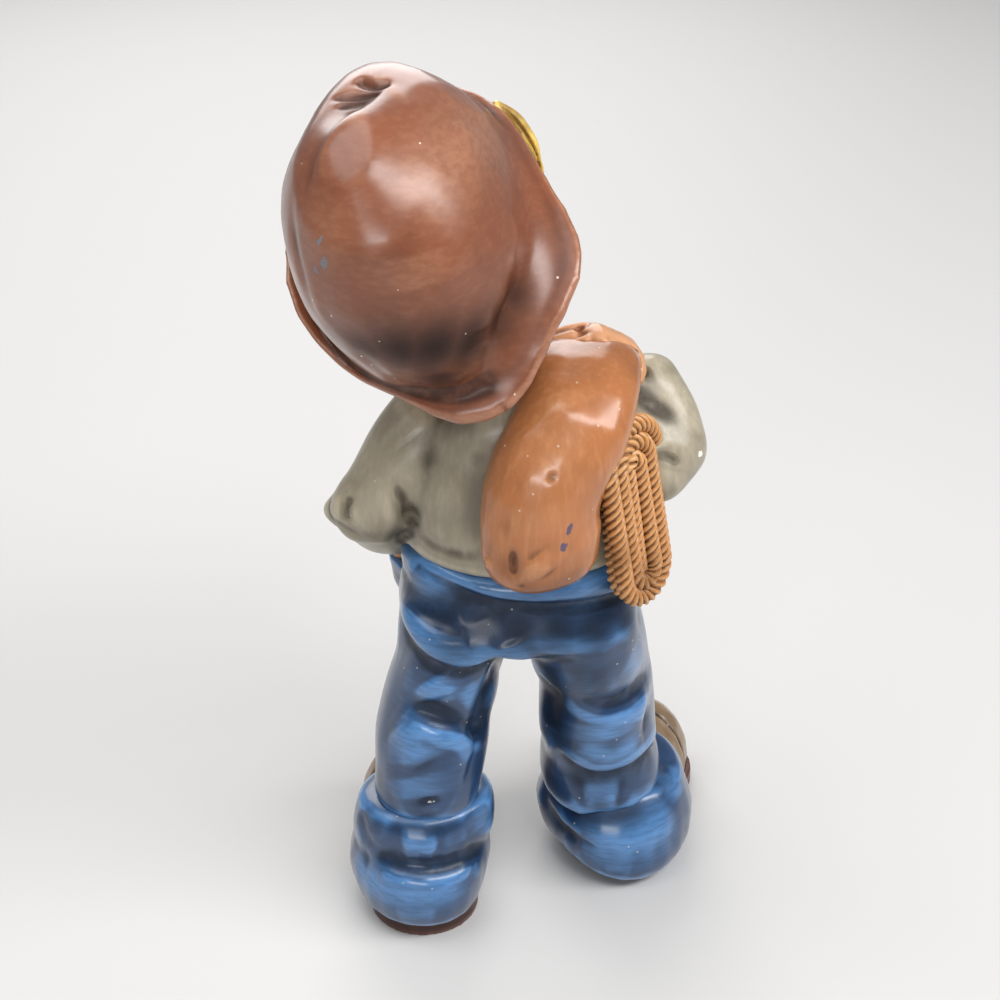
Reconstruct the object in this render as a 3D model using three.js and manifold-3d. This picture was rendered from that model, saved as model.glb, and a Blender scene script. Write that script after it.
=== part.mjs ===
// A glazed earthenware figurine of a country boy with a sack over one shoulder and a coil of rope.
// It is made as a potter makes it: cast sections, luted to each other with a thin joint of slip.
// Millimetres, +Z up. The figure faces -Y, its left side is +X, and its soles stand on z = 0.

import * as THREE from 'three';
import { mergeVertices } from 'three/addons/utils/BufferGeometryUtils.js';
import Module from 'manifold-3d';

const wasm = await Module();
wasm.setup();

// Joint of slip between two castings
const slipJoint = 0.3;

// Heights: each is measured up from the one before it
const inseam = 115;
const seatRise = 33;
const backLength = 63;
const neckRise = 8;
const chinRise = 2.7;

// Feet: where each ankle stands, how far it is turned out, and how its trouser turn-up sits
const leftFoot = { x: 37.5, y: 11, toeOut: 6, hem: 7, cuffTop: 47, cuffWide: 56, cuffCrease: 4 };
const rightFoot = { x: -38.5, y: -19, toeOut: 14, hem: 4, cuffTop: 34, cuffWide: 63, cuffCrease: 0 };
const shoe = { length: 90, width: 45, toeRise: 27, instepRise: 30, heelBack: 27 };
const sole = { thickness: 7, rim: 1.5 };

// Trouser legs and turn-ups
const kneeHeight = 74;
const hip = { spread: 22, above: 13 };
const thigh = { wide: 43, deep: 60, back: 3 };
const knee = { wide: 42, deep: 46 };
const ankle = { wide: 40, deep: 42, tuck: 14 };
const cuff = { topWide: 47, topDeep: 48, hemDeep: 64, hemBack: 3 };

// Seat and waistband
const seat = { wide: 88, deep: 64, buttock: 4 };
const waist = { wide: 80, deep: 58, band: 8, bandProud: 1.6 };

// Shirt
const chest = { wide: 80, deep: 58, x: 2, drop: 25 };
const shoulders = { wide: 74, deep: 48, x: 5, y: -1, drop: 6 };
const neck = { wide: 29, x: 7, y: -5 };
const collar = { height: 10, thickness: 5, flare: 2, overlap: 3 };
const sleeve = { shoulder: 30, elbow: 27, wrist: 24 };

// Arms: where each shoulder joint sits from its end of the shoulder line, and the lengths of its two bones
const leftArm = { x: -14, y: 3, z: -12, upper: 42, fore: 42 };
const rightArm = { x: 4, y: 2, z: -13, upper: 26, fore: 29 };

// Head and hat
const head = { wide: 70, deep: 70, tall: 78, x: 15, y: -8, nod: 16, lean: 13, turn: 4 };
const nose = { wide: 11, long: 10, proud: 3 };
const ear = { wide: 7, deep: 13, tall: 19, below: 5 };
const hat = { tiltBack: 24, lean: 7, left: 3, back: 10, up: 9 };
const crown = { wide: 75, long: 107, tall: 75, pinch: 5, pinchWide: 12 };
const brimThickness = 4.5;
const hairTuft = { wide: 18, deep: 12, above: 22, droop: 0.1, wave: 1.2, sideOut: 2.5, sideUp: 6 };

// The brim's edge, every 30 degrees from the figure's left round its back: its reach and its lift
const brimEdge = [
  { out: 10, lift: 10 },
  { out: 5, lift: 6 },
  { out: 3, lift: 2 },
  { out: 9, lift: -2 },
  { out: 12, lift: -3 },
  { out: 18, lift: 4 },
  { out: 13, lift: 6 },
  { out: 4, lift: 4 },
  { out: 5, lift: 5 },
  { out: 6, lift: 2 },
  { out: 7, lift: 4 },
  { out: 8, lift: 8 },
];

// Sack and rope
const sack = { mouthWide: 26, neckWide: 39, neckDeep: 20, wide: 38, deep: 30 };
const sackHang = { over: 10.5, front: 37, frontDrop: 25, back: 38, backDrop: 43, inward: 27 };
const rope = { diameter: 4.8, spacing: 1, turns: 2, tall: 70, inner: 2.8, stepsPerTurn: 24 };
const ropeHang = { x: -5, y: 25, z: -15, turn: -130, lean: 8 };

// Hands
const palm = { wide: 21, deep: 12, long: 27 };
const finger = { wide: 5.4, deep: 6.6, apart: 0.1 };

// Worked out from the sizes above
const hipHeight = inseam + hip.above;
const waistHeight = inseam + seatRise;
const shoulderHeight = waistHeight + backLength;
const neckHeight = shoulderHeight + neckRise;

// Glazes
const glaze = (color, roughness = 0.25) => new THREE.MeshStandardMaterial({ color, roughness });
const hatGlaze = glaze(0x7d452c);
const hairGlaze = glaze(0xd8ad3a);
const skinGlaze = glaze(0xd79a6c, 0.35);
const shirtGlaze = glaze(0x8c8772, 0.4);
const sackGlaze = glaze(0xb4703f);
const ropeGlaze = glaze(0xb9783f, 0.45);
const jeansGlaze = glaze(0x2c5c9a);
const shoeGlaze = glaze(0x8a6a50);
const soleGlaze = glaze(0x54302a, 0.4);

const V = (x, y, z) => new THREE.Vector3(x, y, z);
const radians = THREE.MathUtils.degToRad;
const bump = (x, width) => Math.exp(-((x / width) ** 2));

// A closed skin over rings of points, with a fan from each end's apex.
function skin(rings, startApex, endApex) {
  const sides = rings[0].length;
  const points = rings.flat();
  const faces = [];
  for (let r = 0; r < rings.length - 1; r++) {
    for (let s = 0; s < sides; s++) {
      const a = r * sides + s;
      const b = r * sides + ((s + 1) % sides);
      faces.push(a, b, b + sides, a, b + sides, a + sides);
    }
  }
  const start = points.push(startApex) - 1;
  const end = points.push(endApex) - 1;
  const last = (rings.length - 1) * sides;
  for (let s = 0; s < sides; s++) {
    const next = (s + 1) % sides;
    faces.push(start, next, s, end, last + s, last + next);
  }
  return new THREE.BufferGeometry().setFromPoints(points).setIndex(faces);
}

// A closed band: rings of points whose last ring joins the first.
function band(rings) {
  const sides = rings[0].length;
  const faces = [];
  for (let r = 0; r < rings.length; r++) {
    const next = (r + 1) % rings.length;
    for (let s = 0; s < sides; s++) {
      const t = (s + 1) % sides;
      faces.push(r * sides + s, r * sides + t, next * sides + t);
      faces.push(r * sides + s, next * sides + t, next * sides + s);
    }
  }
  return new THREE.BufferGeometry().setFromPoints(rings.flat()).setIndex(faces);
}

// A soft tube on a smooth spine. Each station has its place and its full width and depth there.
// across is the way its width lies, fold adds millimetres outwards, and domes round off its two ends.
function limb({ stations, across = V(1, 0, 0), sides = 16, steps = 3, fold = () => 0, domes = [0, 0] }) {
  const domeRings = 2;
  const spine = new THREE.CatmullRomCurve3(stations.map((s) => s.at));
  const sizes = new THREE.CatmullRomCurve3(stations.map((s) => V(s.wide / 2, s.deep / 2, 0)));
  const ringAt = (t, shift, shrink) => {
    const along = spine.getTangent(t);
    const side = across.clone().addScaledVector(along, -across.dot(along)).normalize();
    const out = along.clone().cross(side);
    const centre = spine.getPoint(t).addScaledVector(along, shift);
    const size = sizes.getPoint(t);
    return Array.from({ length: sides }, (_, i) => {
      const round = (i / sides) * 2 * Math.PI;
      const extra = fold(round, centre, t);
      return centre.clone()
        .addScaledVector(side, (size.x + extra) * shrink * Math.cos(round))
        .addScaledVector(out, (size.y + extra) * shrink * Math.sin(round));
    });
  };
  const apex = (t, reach) => spine.getPoint(t).addScaledVector(spine.getTangent(t), reach);
  const dome = (t, reach) => Array.from({ length: reach === 0 ? 0 : domeRings }, (_, i) => {
    const lift = ((i + 1) / (domeRings + 1)) * (Math.PI / 2);
    return ringAt(t, reach * Math.sin(lift), Math.cos(lift));
  });
  const count = (stations.length - 1) * steps;
  const body = Array.from({ length: count + 1 }, (_, i) => ringAt(i / count, 0, 1));
  const rings = [...dome(0, -domes[0]).reverse(), ...body, ...dome(1, domes[1])];
  return skin(rings, apex(0, -domes[0]), apex(1, domes[1]));
}

// Joins and cuts
function bareOf(geometry) {
  const bare = new THREE.BufferGeometry();
  bare.setAttribute('position', geometry.getAttribute('position').clone());
  return mergeVertices(bare.setIndex(geometry.index), 1e-4);
}

function solidOf(geometry) {
  const bare = bareOf(geometry);
  const vertProperties = new Float32Array(bare.attributes.position.array);
  const triVerts = new Uint32Array(bare.index.array);
  return new wasm.Manifold(new wasm.Mesh({ numProp: 3, vertProperties, triVerts }));
}

function geometryOf(solid) {
  const { vertProperties, triVerts } = solid.getMesh();
  return new THREE.BufferGeometry()
    .setAttribute('position', new THREE.BufferAttribute(vertProperties, 3))
    .setIndex(new THREE.BufferAttribute(triVerts, 1));
}

const joined = (...geometries) => geometryOf(geometries.map(solidOf).reduce((a, b) => a.add(b)));

// The skin moved outwards by the thickness of a slip joint
function swollen(geometry) {
  const grown = bareOf(geometry);
  grown.computeVertexNormals();
  const { position, normal } = grown.attributes;
  const spot = V(0, 0, 0);
  for (let i = 0; i < position.count; i++) {
    spot.fromBufferAttribute(position, i);
    spot.addScaledVector(V(0, 0, 0).fromBufferAttribute(normal, i), slipJoint);
    position.setXYZ(i, spot.x, spot.y, spot.z);
  }
  return grown;
}

const figure = new THREE.Group();

// Cuts a piece back from the whole forms of the neighbours that it is luted against.
// What is left of it is its largest body.
function giveWay(piece, ...neighbours) {
  figure.updateMatrixWorld(true);
  let solid = solidOf(piece.geometry);
  for (const neighbour of neighbours) {
    const toPiece = piece.matrixWorld.clone().invert().multiply(neighbour.matrixWorld);
    solid = solid.subtract(solidOf(swollen(neighbour.userData.form).applyMatrix4(toPiece)));
  }
  const bodies = solid.decompose().sort((a, b) => b.volume() - a.volume());
  piece.geometry = geometryOf(bodies[0]);
}

function place(parent, name, geometry, material) {
  const mesh = new THREE.Mesh(geometry, material);
  mesh.name = name;
  mesh.userData.form = geometry;
  parent.add(mesh);
  return mesh;
}

function frameAt(parent, x, y, z) {
  const frame = new THREE.Group();
  frame.position.set(x, y, z);
  parent.add(frame);
  return frame;
}

// Feet: each is built heel to toe in its own frame, with its ankle over the frame's origin.
function soleGeometry() {
  const heel = shoe.heelBack + sole.rim;
  const toe = shoe.heelBack - shoe.length - sole.rim;
  const ball = shoe.width / 2 + sole.rim;
  const heelHalf = ball * 0.86;
  const outline = new THREE.Shape();
  outline.moveTo(heelHalf, heel - heelHalf);
  outline.absarc(0, heel - heelHalf, heelHalf, 0, Math.PI, false);
  outline.lineTo(-ball, toe + ball);
  outline.absarc(0, toe + ball, ball, Math.PI, 2 * Math.PI, false);
  const curveSegments = 14;
  return new THREE.ExtrudeGeometry(outline, { depth: sole.thickness, bevelEnabled: false, curveSegments });
}

function shoeGeometry() {
  const floor = sole.thickness + slipJoint;
  const station = (share, wide, rise) => ({
    at: V(0, shoe.heelBack - shoe.length * share, floor), wide: shoe.width * wide, deep: 2 * rise,
  });
  const upper = limb({
    stations: [
      station(0.1, 0.76, shoe.instepRise * 0.9),
      station(0.35, 0.86, shoe.instepRise),
      station(0.65, 0.97, shoe.instepRise * 0.82),
      station(0.86, 0.94, shoe.toeRise),
    ],
    sides: 18,
    domes: [shoe.length * 0.1, shoe.length * 0.14],
  });
  const { position } = upper.attributes;
  for (let i = 0; i < position.count; i++) {
    position.setZ(i, Math.max(position.getZ(i), floor));
  }
  return upper;
}

// The turn-up flares from the trouser leg down to a hem that covers the heel.
function cuffGeometry({ hem, cuffTop, cuffWide, cuffCrease }) {
  const level = (share, wide, deep, back) => ({
    at: V(0, back, hem + (cuffTop - hem) * share), wide, deep,
  });
  return limb({
    stations: [
      level(0, cuffWide * 0.93, cuff.hemDeep * 0.93, cuff.hemBack),
      level(0.22, cuffWide, cuff.hemDeep, cuff.hemBack),
      level(0.55, cuffWide * 0.97, cuff.hemDeep * 0.95, cuff.hemBack * 0.8),
      level(1, cuff.topWide, cuff.topDeep, 0),
    ],
    sides: 20,
    domes: [0, 3],
    fold: (round, centre, t) => -cuffCrease * bump(t - 0.66, 0.12) * (0.6 + 0.4 * Math.sin(round)),
  });
}

function foot(name, stance, side) {
  const frame = frameAt(figure, stance.x, stance.y, 0);
  frame.rotation.z = side * radians(stance.toeOut);
  return {
    sole: place(frame, `${name}_sole`, soleGeometry(), soleGlaze),
    shoe: place(frame, `${name}_shoe`, shoeGeometry(), shoeGlaze),
    cuff: place(frame, `${name}_cuff`, cuffGeometry(stance), jeansGlaze),
  };
}

const left = foot('left', leftFoot, 1);
const right = foot('right', rightFoot, -1);

// Trouser legs, with rolls and creases of slack cloth: each has its height at the middle of the leg,
// how much higher it is on the figure's left, how far it stands out, and how broad it is.
function legGeometry(stance, hipX, rolls) {
  const bottom = stance.cuffTop - ankle.tuck;
  const down = (z) => (hipHeight - z) / (hipHeight - bottom);
  const level = (z, { wide, deep }) => {
    const x = hipX + (stance.x - hipX) * down(z);
    const y = thigh.back + (stance.y - thigh.back) * down(z);
    return { at: V(x, y, z), wide, deep };
  };
  return limb({
    stations: [
      level(bottom, ankle),
      level((bottom + kneeHeight) / 2, ankle),
      level(kneeHeight, knee),
      level(hipHeight, thigh),
    ],
    steps: 5,
    fold: (round, centre) => rolls.reduce((sum, { z, slope, out, broad }) => {
      const middle = z + slope * Math.cos(round);
      return sum + out * (0.65 + 0.35 * Math.sin(round)) * bump(centre.z - middle, broad);
    }, 0),
  });
}

const leftLeg = place(figure, 'left_leg', legGeometry(leftFoot, hip.spread, [
  { z: 65, slope: 4, out: 4, broad: 14 },
  { z: 92, slope: 11, out: -2.5, broad: 5 },
]), jeansGlaze);
const rightLeg = place(figure, 'right_leg', legGeometry(rightFoot, -hip.spread, [
  { z: 42, slope: 0, out: 2.5, broad: 8 },
  { z: 54, slope: 0, out: -1.5, broad: 4 },
  { z: 75, slope: 0, out: 3.5, broad: 14 },
  { z: 95, slope: -4, out: -2, broad: 5 },
]), jeansGlaze);

// Seat of the trousers: two buttocks over a saddle between the legs
const seatMesh = place(figure, 'jeans_seat', limb({
  stations: [
    { at: V(0, 0, inseam), wide: seat.wide * 0.5, deep: seat.deep * 0.7 },
    { at: V(0, 0, inseam + seatRise * 0.18), wide: seat.wide * 0.84, deep: seat.deep * 0.93 },
    { at: V(0, 0, inseam + seatRise * 0.4), wide: seat.wide, deep: seat.deep },
    { at: V(0, 0, waistHeight - waist.band / 2 - slipJoint), wide: waist.wide, deep: waist.deep },
  ],
  sides: 24,
  domes: [2, 0],
  fold: (round, centre, t) => {
    const behind = Math.PI / 2;
    const cheeks = bump(round - behind - 0.6, 0.5) + bump(round - behind + 0.6, 0.5);
    return seat.buttock * (cheeks * bump(t - 0.5, 0.3) - 2 * bump(round - behind, 0.3) * bump(t, 0.3));
  },
}), jeansGlaze);

// Waistband: a flat strap between the seat and the shirt
const waistband = place(figure, 'waistband', limb({
  stations: [-1, -0.7, 0.7, 1].map((level) => {
    const grow = Math.abs(level) < 1 ? 2 * waist.bandProud : waist.bandProud;
    const at = V(0, 0, waistHeight + (level * waist.band) / 2);
    return { at, wide: waist.wide + grow, deep: waist.deep + grow };
  }),
  sides: 28,
  steps: 1,
}), jeansGlaze);

// Shirt body: bloused over the waistband, rounded over the shoulders
const shirtFoot = waistHeight + waist.band / 2 + slipJoint;
const shoulderLine = shoulderHeight - shoulders.drop;
const shirtBody = place(figure, 'shirt_body', limb({
  stations: [
    { at: V(0, 0, shirtFoot), wide: waist.wide - 2, deep: waist.deep - 2 },
    { at: V(0, 0, shirtFoot + waist.band / 2), wide: waist.wide + 3, deep: waist.deep + 4 },
    { at: V(chest.x, 0, shoulderHeight - chest.drop), wide: chest.wide, deep: chest.deep },
    { at: V(shoulders.x, shoulders.y, shoulderLine), wide: shoulders.wide, deep: shoulders.deep },
    { at: V(shoulders.x + neck.x, shoulders.y + neck.y, neckHeight), wide: neck.wide, deep: neck.wide },
  ],
  sides: 22,
}), shirtGlaze);

// Frames at the two ends of the shoulder line carry the arms and what they hold.
const leftShoulder = frameAt(figure, shoulders.x + shoulders.wide / 2, shoulders.y, shoulderHeight);
const rightShoulder = frameAt(figure, shoulders.x - shoulders.wide / 2, shoulders.y, shoulderHeight);

// An arm is two bones: its shoulder, elbow and wrist follow from their lengths and the ways that they point.
function armOf({ x, y, z, upper, fore }, upperWay, foreWay) {
  const shoulder = V(x, y, z);
  const elbow = shoulder.clone().addScaledVector(upperWay.normalize(), upper);
  const wrist = elbow.clone().addScaledVector(foreWay.normalize(), fore);
  return { shoulder, elbow, wrist };
}
const leftBones = armOf(leftArm, V(27, 6, -29), V(-12, -33, -23));
const rightBones = armOf(rightArm, V(-21, -1, -12), V(10, -13, 24));

// A sleeve is an upper arm and a forearm, joined at the elbow.
function sleeveGeometry({ shoulder, elbow, wrist }, across) {
  const elbowDome = sleeve.elbow * 0.3;
  const half = (from, to) => from.clone().lerp(to, 0.5);
  const station = (at, size) => ({ at, wide: size, deep: size });
  const upperArm = limb({
    stations: [
      station(shoulder, sleeve.shoulder),
      station(half(shoulder, elbow), sleeve.shoulder),
      station(elbow, sleeve.elbow),
    ],
    across,
    domes: [sleeve.shoulder * 0.27, elbowDome],
  });
  const lowerArm = limb({
    stations: [
      station(elbow, sleeve.elbow),
      station(half(elbow, wrist), sleeve.elbow),
      station(wrist, sleeve.wrist),
    ],
    across,
    domes: [elbowDome, sleeve.wrist * 0.2],
  });
  return joined(upperArm, lowerArm);
}
const leftSleeveForm = sleeveGeometry(leftBones, V(0.8, 0.2, 0.5));
const leftSleeve = place(leftShoulder, 'left_sleeve', leftSleeveForm, shirtGlaze);
const rightSleeveForm = sleeveGeometry(rightBones, V(0.1, 1, 0.2));
const rightSleeve = place(rightShoulder, 'right_sleeve', rightSleeveForm, shirtGlaze);

// Hands: the left one goes down into a front pocket, the right one grips the neck of the sack.
// Places on a hand are counted from its wrist, in lengths of a hand.
const onHand = ({ wrist }, x, y, z) => V(x, y, z).multiplyScalar(palm.long).add(wrist);
const leftHand = place(leftShoulder, 'left_hand', limb({
  stations: [
    { at: onHand(leftBones, -0.04, 0.04, -0.07), wide: palm.wide * 0.8, deep: palm.deep * 1.15 },
    { at: onHand(leftBones, -0.19, -0.15, -0.48), wide: palm.wide, deep: palm.deep },
    { at: onHand(leftBones, -0.19, -0.19, -1), wide: palm.wide * 0.8, deep: palm.deep * 0.85 },
  ],
  across: V(0.7, 0.7, 0.2),
  sides: 14,
  domes: [0, palm.deep * 0.4],
}), skinGlaze);
const rightHand = place(rightShoulder, 'right_hand', joined(
  limb({
    stations: [
      { at: onHand(rightBones, 0, 0, -0.08), wide: palm.wide * 0.8, deep: palm.deep * 1.15 },
      { at: onHand(rightBones, 0.2, 0.18, 0.42), wide: palm.wide, deep: palm.deep },
      { at: onHand(rightBones, 0.55, 0.3, 0.69), wide: palm.wide, deep: palm.deep * 0.9 },
    ],
    across: V(0, 1, 0),
    sides: 12,
    domes: [0, palm.deep * 0.4],
  }),
  ...[-1.5, -0.5, 0.5, 1.5].map((row) => {
    const knuckle = V(0, row * (finger.wide + finger.apart), 0);
    const joint = (x, z) => ({
      at: onHand(rightBones, x, 0.28, z).add(knuckle), wide: finger.wide, deep: finger.deep,
    });
    return limb({
      stations: [joint(0.38, 0.63), joint(0.72, 0.71), joint(1.05, 0.61)],
      across: V(0, 1, 0),
      sides: 8,
      steps: 2,
      domes: [finger.deep * 0.3, finger.deep * 0.45],
    });
  }),
), skinGlaze);

// Sack: its neck goes over the right shoulder, and its body hangs down the back.
// Places on it are counted in shares of how far it hangs inwards, to the front or back, and down.
const inFront = (inward, front, drop) => (
  V(sackHang.inward * inward, -sackHang.front * front, -sackHang.frontDrop * drop)
);
const behind = (inward, back, drop) => (
  V(sackHang.inward * inward, sackHang.back * back, -sackHang.backDrop * drop)
);
const sackMesh = place(rightShoulder, 'sack', limb({
  stations: [
    { at: inFront(0.3, 1, 1), wide: sack.mouthWide, deep: sack.neckDeep * 0.75 },
    { at: inFront(0.26, 0.76, 0.16), wide: sack.mouthWide, deep: sack.neckDeep * 0.85 },
    { at: behind(0.34, 0.05, 0).setZ(sackHang.over), wide: sack.neckWide, deep: sack.neckDeep },
    { at: behind(0.56, 0.74, 0), wide: sack.wide * 0.97, deep: sack.deep * 0.87 },
    { at: behind(0.96, 0.97, 0.51), wide: sack.wide, deep: sack.deep },
    { at: behind(1, 1, 1), wide: sack.wide, deep: sack.deep * 0.87 },
  ],
  sides: 16,
  domes: [sack.neckDeep * 0.25, sack.deep * 0.33],
}), sackGlaze);

// Rope coil: one unbroken tube.
// It winds outwards in long hanging loops, steps back a layer where it turns, and winds in again.
// The back layer lies half a pitch to one side, so that it closes the front layer's gaps.
const ropePitch = rope.diameter + rope.spacing;
const ropeStraight = rope.tall - 2 * (rope.inner + ropePitch * rope.turns);
function ropePoint(turns) {
  const outward = Math.min(turns, 2 * rope.turns - turns);
  const radius = rope.inner + ropePitch * outward;
  const stepBack = THREE.MathUtils.smoothstep(turns, rope.turns - 0.15, rope.turns + 0.15);
  const layer = ropePitch * stepBack;
  const aside = (ropePitch / 2) * stepBack;
  const halfArc = Math.PI * radius;
  let along = (turns % 1) * 2 * (ropeStraight + halfArc);
  if (along < ropeStraight) return V(aside + radius, layer, -along);
  along -= ropeStraight;
  if (along < halfArc) {
    const angle = along / radius;
    return V(aside + radius * Math.cos(angle), layer, -ropeStraight - radius * Math.sin(angle));
  }
  along -= halfArc;
  if (along < ropeStraight) return V(aside - radius, layer, along - ropeStraight);
  const angle = (along - ropeStraight) / radius;
  return V(aside - radius * Math.cos(angle), layer, radius * Math.sin(angle));
}
const ropeSteps = 2 * rope.turns * rope.stepsPerTurn;
const ropeSpots = Array.from({ length: ropeSteps }, (_, i) => ropePoint(i / rope.stepsPerTurn));
const ropeEnd = V(ropePitch / 2 + rope.inner, ropePitch, 0);
ropeSpots.push(ropeEnd, ropeEnd.clone().setZ(-rope.diameter));

// The least gap between turns, measured on the spine's points that lie more than a third of a turn apart
const apart = Math.round(rope.stepsPerTurn / 3);
const ropeGaps = ropeSpots.flatMap((a, i) => {
  const others = ropeSpots.slice(i + apart);
  return others.map((b) => a.distanceTo(b) - rope.diameter);
});
console.log(`rope_coil: least gap to itself ${Math.min(...ropeGaps).toFixed(2)} mm`);

const ropeFrame = frameAt(rightShoulder, ropeHang.x, ropeHang.y, ropeHang.z);
ropeFrame.rotation.set(0, radians(ropeHang.lean), radians(ropeHang.turn));
const ropeCoil = place(ropeFrame, 'rope_coil', limb({
  stations: ropeSpots.map((at) => ({ at, wide: rope.diameter, deep: rope.diameter })),
  across: V(0, 1, 0),
  sides: 6,
  steps: 1,
}), ropeGlaze);

// Head, in a frame at its own centre: skull and jaw, nose, and a neck down into the shirt
const jawDepth = head.tall * 0.44;
const headFrame = frameAt(
  figure,
  shoulders.x + neck.x + head.x,
  shoulders.y + neck.y + head.y,
  neckHeight + chinRise + jawDepth,
);
headFrame.rotation.set(-radians(head.nod), radians(head.lean), radians(head.turn));
headFrame.updateMatrixWorld(true);
const neckFoot = headFrame.worldToLocal(
  V(shoulders.x + neck.x, shoulders.y + neck.y, neckHeight - neckRise / 2),
);
const headMesh = place(headFrame, 'head', joined(
  limb({
    stations: [
      { at: V(0, -4, -jawDepth), wide: head.wide * 0.42, deep: head.deep * 0.46 },
      { at: V(0, -2, -head.tall * 0.26), wide: head.wide * 0.88, deep: head.deep * 0.86 },
      { at: V(0, 0, 0), wide: head.wide, deep: head.deep },
      { at: V(0, 1, head.tall * 0.28), wide: head.wide * 0.84, deep: head.deep * 0.86 },
      { at: V(0, 1, head.tall * 0.42), wide: head.wide * 0.5, deep: head.deep * 0.52 },
    ],
    sides: 20,
    domes: [3, 5],
  }),
  limb({
    stations: [
      { at: V(0, -head.deep * 0.44, nose.long * 0.4), wide: nose.wide * 0.64, deep: nose.wide * 0.7 },
      { at: V(0, -head.deep * 0.5 - nose.proud, -nose.long * 0.6), wide: nose.wide, deep: nose.wide },
    ],
    sides: 10,
    steps: 2,
    domes: [3, 4],
  }),
  ...[-1, 1].map((side) => limb({
    stations: [
      { at: V(side * head.wide * 0.46, 2, -ear.below - ear.tall / 3), wide: ear.wide, deep: ear.deep * 0.6 },
      { at: V(side * head.wide * 0.5, 4, -ear.below + ear.tall / 3), wide: ear.wide, deep: ear.deep },
    ],
    sides: 10,
    domes: [ear.tall / 6, ear.tall / 6],
  })),
  limb({
    stations: [
      { at: neckFoot, wide: neck.wide - 6, deep: neck.wide - 6 },
      { at: V(0, 4, -head.tall * 0.2), wide: neck.wide - 6, deep: neck.wide - 6 },
    ],
    steps: 2,
  }),
), skinGlaze);

// Hat, in a frame on the back of the head
const hatFrame = frameAt(headFrame, hat.left, hat.back, hat.up);
hatFrame.rotation.set(-radians(hat.tiltBack), radians(hat.lean), 0);
const crownFoot = brimThickness / 2 + slipJoint;
const crownMesh = place(hatFrame, 'hat_crown', limb({
  stations: [0, 0.3, 0.62, 0.86, 0.97].map((rise) => {
    const spread = (1 - rise ** 2.6) ** 0.5;
    const at = V(0, 0, crownFoot + crown.tall * rise);
    return { at, wide: crown.wide * spread, deep: crown.long * spread };
  }),
  sides: 26,
  domes: [0, crown.tall * 0.03],
}), hatGlaze);
const pinchSpot = V(0, -crown.long * 0.22, crown.tall * 0.95);
const crownSpots = crownMesh.geometry.attributes.position;
for (let i = 0; i < crownSpots.count; i++) {
  const away = V(0, 0, 0).fromBufferAttribute(crownSpots, i).distanceTo(pinchSpot);
  crownSpots.setZ(i, crownSpots.getZ(i) - crown.pinch * bump(away, crown.pinchWide));
}

// The brim is a plate under the crown, with its edge curled by the table above.
const brimCurve = new THREE.CatmullRomCurve3(brimEdge.map(({ out, lift }) => V(out, lift, 0)), true);
const brimSides = 32;
const brimRing = (share, above) => Array.from({ length: brimSides }, (_, i) => {
  const round = (i / brimSides) * 2 * Math.PI;
  const edge = brimCurve.getPoint(i / brimSides);
  const reach = edge.x * share;
  return V(
    (crown.wide / 2 + reach) * Math.cos(round),
    (crown.long / 2 + reach) * Math.sin(round),
    edge.y * share * share + above,
  );
});
const half = brimThickness / 2;
const brimMesh = place(hatFrame, 'hat_brim', skin(
  [
    brimRing(0, -half), brimRing(0.5, -half), brimRing(0.92, -half * 0.9),
    brimRing(1, 0),
    brimRing(0.92, half * 0.9), brimRing(0.5, half), brimRing(0, half),
  ],
  V(0, 0, -half),
  V(0, 0, half),
), hatGlaze);

// Hair: a tousled fringe under the front of the brim
const hair = place(headFrame, 'hair_fringe', limb({
  stations: [-72, -50, -25, 10, 45, 80].map((degrees) => {
    const round = radians(degrees - 90);
    const tousled = degrees < -40;
    const out = tousled ? hairTuft.sideOut : 0;
    const up = tousled ? hairTuft.sideUp : 0;
    const x = (head.wide / 2 + out) * Math.cos(round);
    const y = (head.deep / 2 + out) * Math.sin(round);
    const z = hairTuft.above + up - hairTuft.droop * Math.abs(degrees);
    return { at: V(x, y, z), wide: hairTuft.wide, deep: hairTuft.deep };
  }),
  across: V(0, 0, 1),
  sides: 8,
  steps: 5,
  domes: [4, 4],
  fold: (round, centre, t) => hairTuft.wave * Math.cos(t * 50),
}), hairGlaze);

// Collar: a turned-down band round the neck
const collarSides = 24;
const collarMesh = place(figure, 'shirt_collar', band(Array.from({ length: collarSides }, (_, i) => {
  const round = (i / collarSides) * 2 * Math.PI;
  const inner = neck.wide / 2 - 2;
  const at = (grow, rise) => V(
    shoulders.x + neck.x + (inner + grow) * Math.cos(round),
    shoulders.y + neck.y + (inner + grow) * Math.sin(round),
    neckHeight - collar.overlap + rise,
  );
  return [
    at(0, 0), at(0, collar.height), at(collar.thickness * 0.6, collar.height),
    at(collar.thickness, collar.height * 0.8), at(collar.thickness + collar.flare, 0),
  ];
})), shirtGlaze);

// Each casting is trimmed to the neighbours that it was luted against.
giveWay(left.cuff, left.sole);
giveWay(right.cuff, right.sole);
giveWay(leftLeg, seatMesh, left.cuff);
giveWay(rightLeg, seatMesh, right.cuff, leftLeg);
giveWay(left.shoe, left.cuff, leftLeg);
giveWay(right.shoe, right.cuff, rightLeg);
giveWay(leftSleeve, shirtBody, waistband, seatMesh);
giveWay(rightSleeve, shirtBody, ropeCoil);
giveWay(leftHand, leftSleeve, seatMesh, waistband, shirtBody, leftLeg);
giveWay(headMesh, brimMesh, crownMesh, shirtBody);
giveWay(collarMesh, headMesh, shirtBody, brimMesh, crownMesh);
giveWay(sackMesh, shirtBody, rightSleeve, collarMesh, headMesh, brimMesh, crownMesh);
giveWay(sackMesh, ropeCoil, seatMesh, waistband);
giveWay(rightHand, rightSleeve, sackMesh, shirtBody, headMesh, collarMesh, brimMesh);
giveWay(hair, headMesh, brimMesh, crownMesh);
giveWay(shirtBody, ropeCoil);
giveWay(waistband, ropeCoil);
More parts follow.
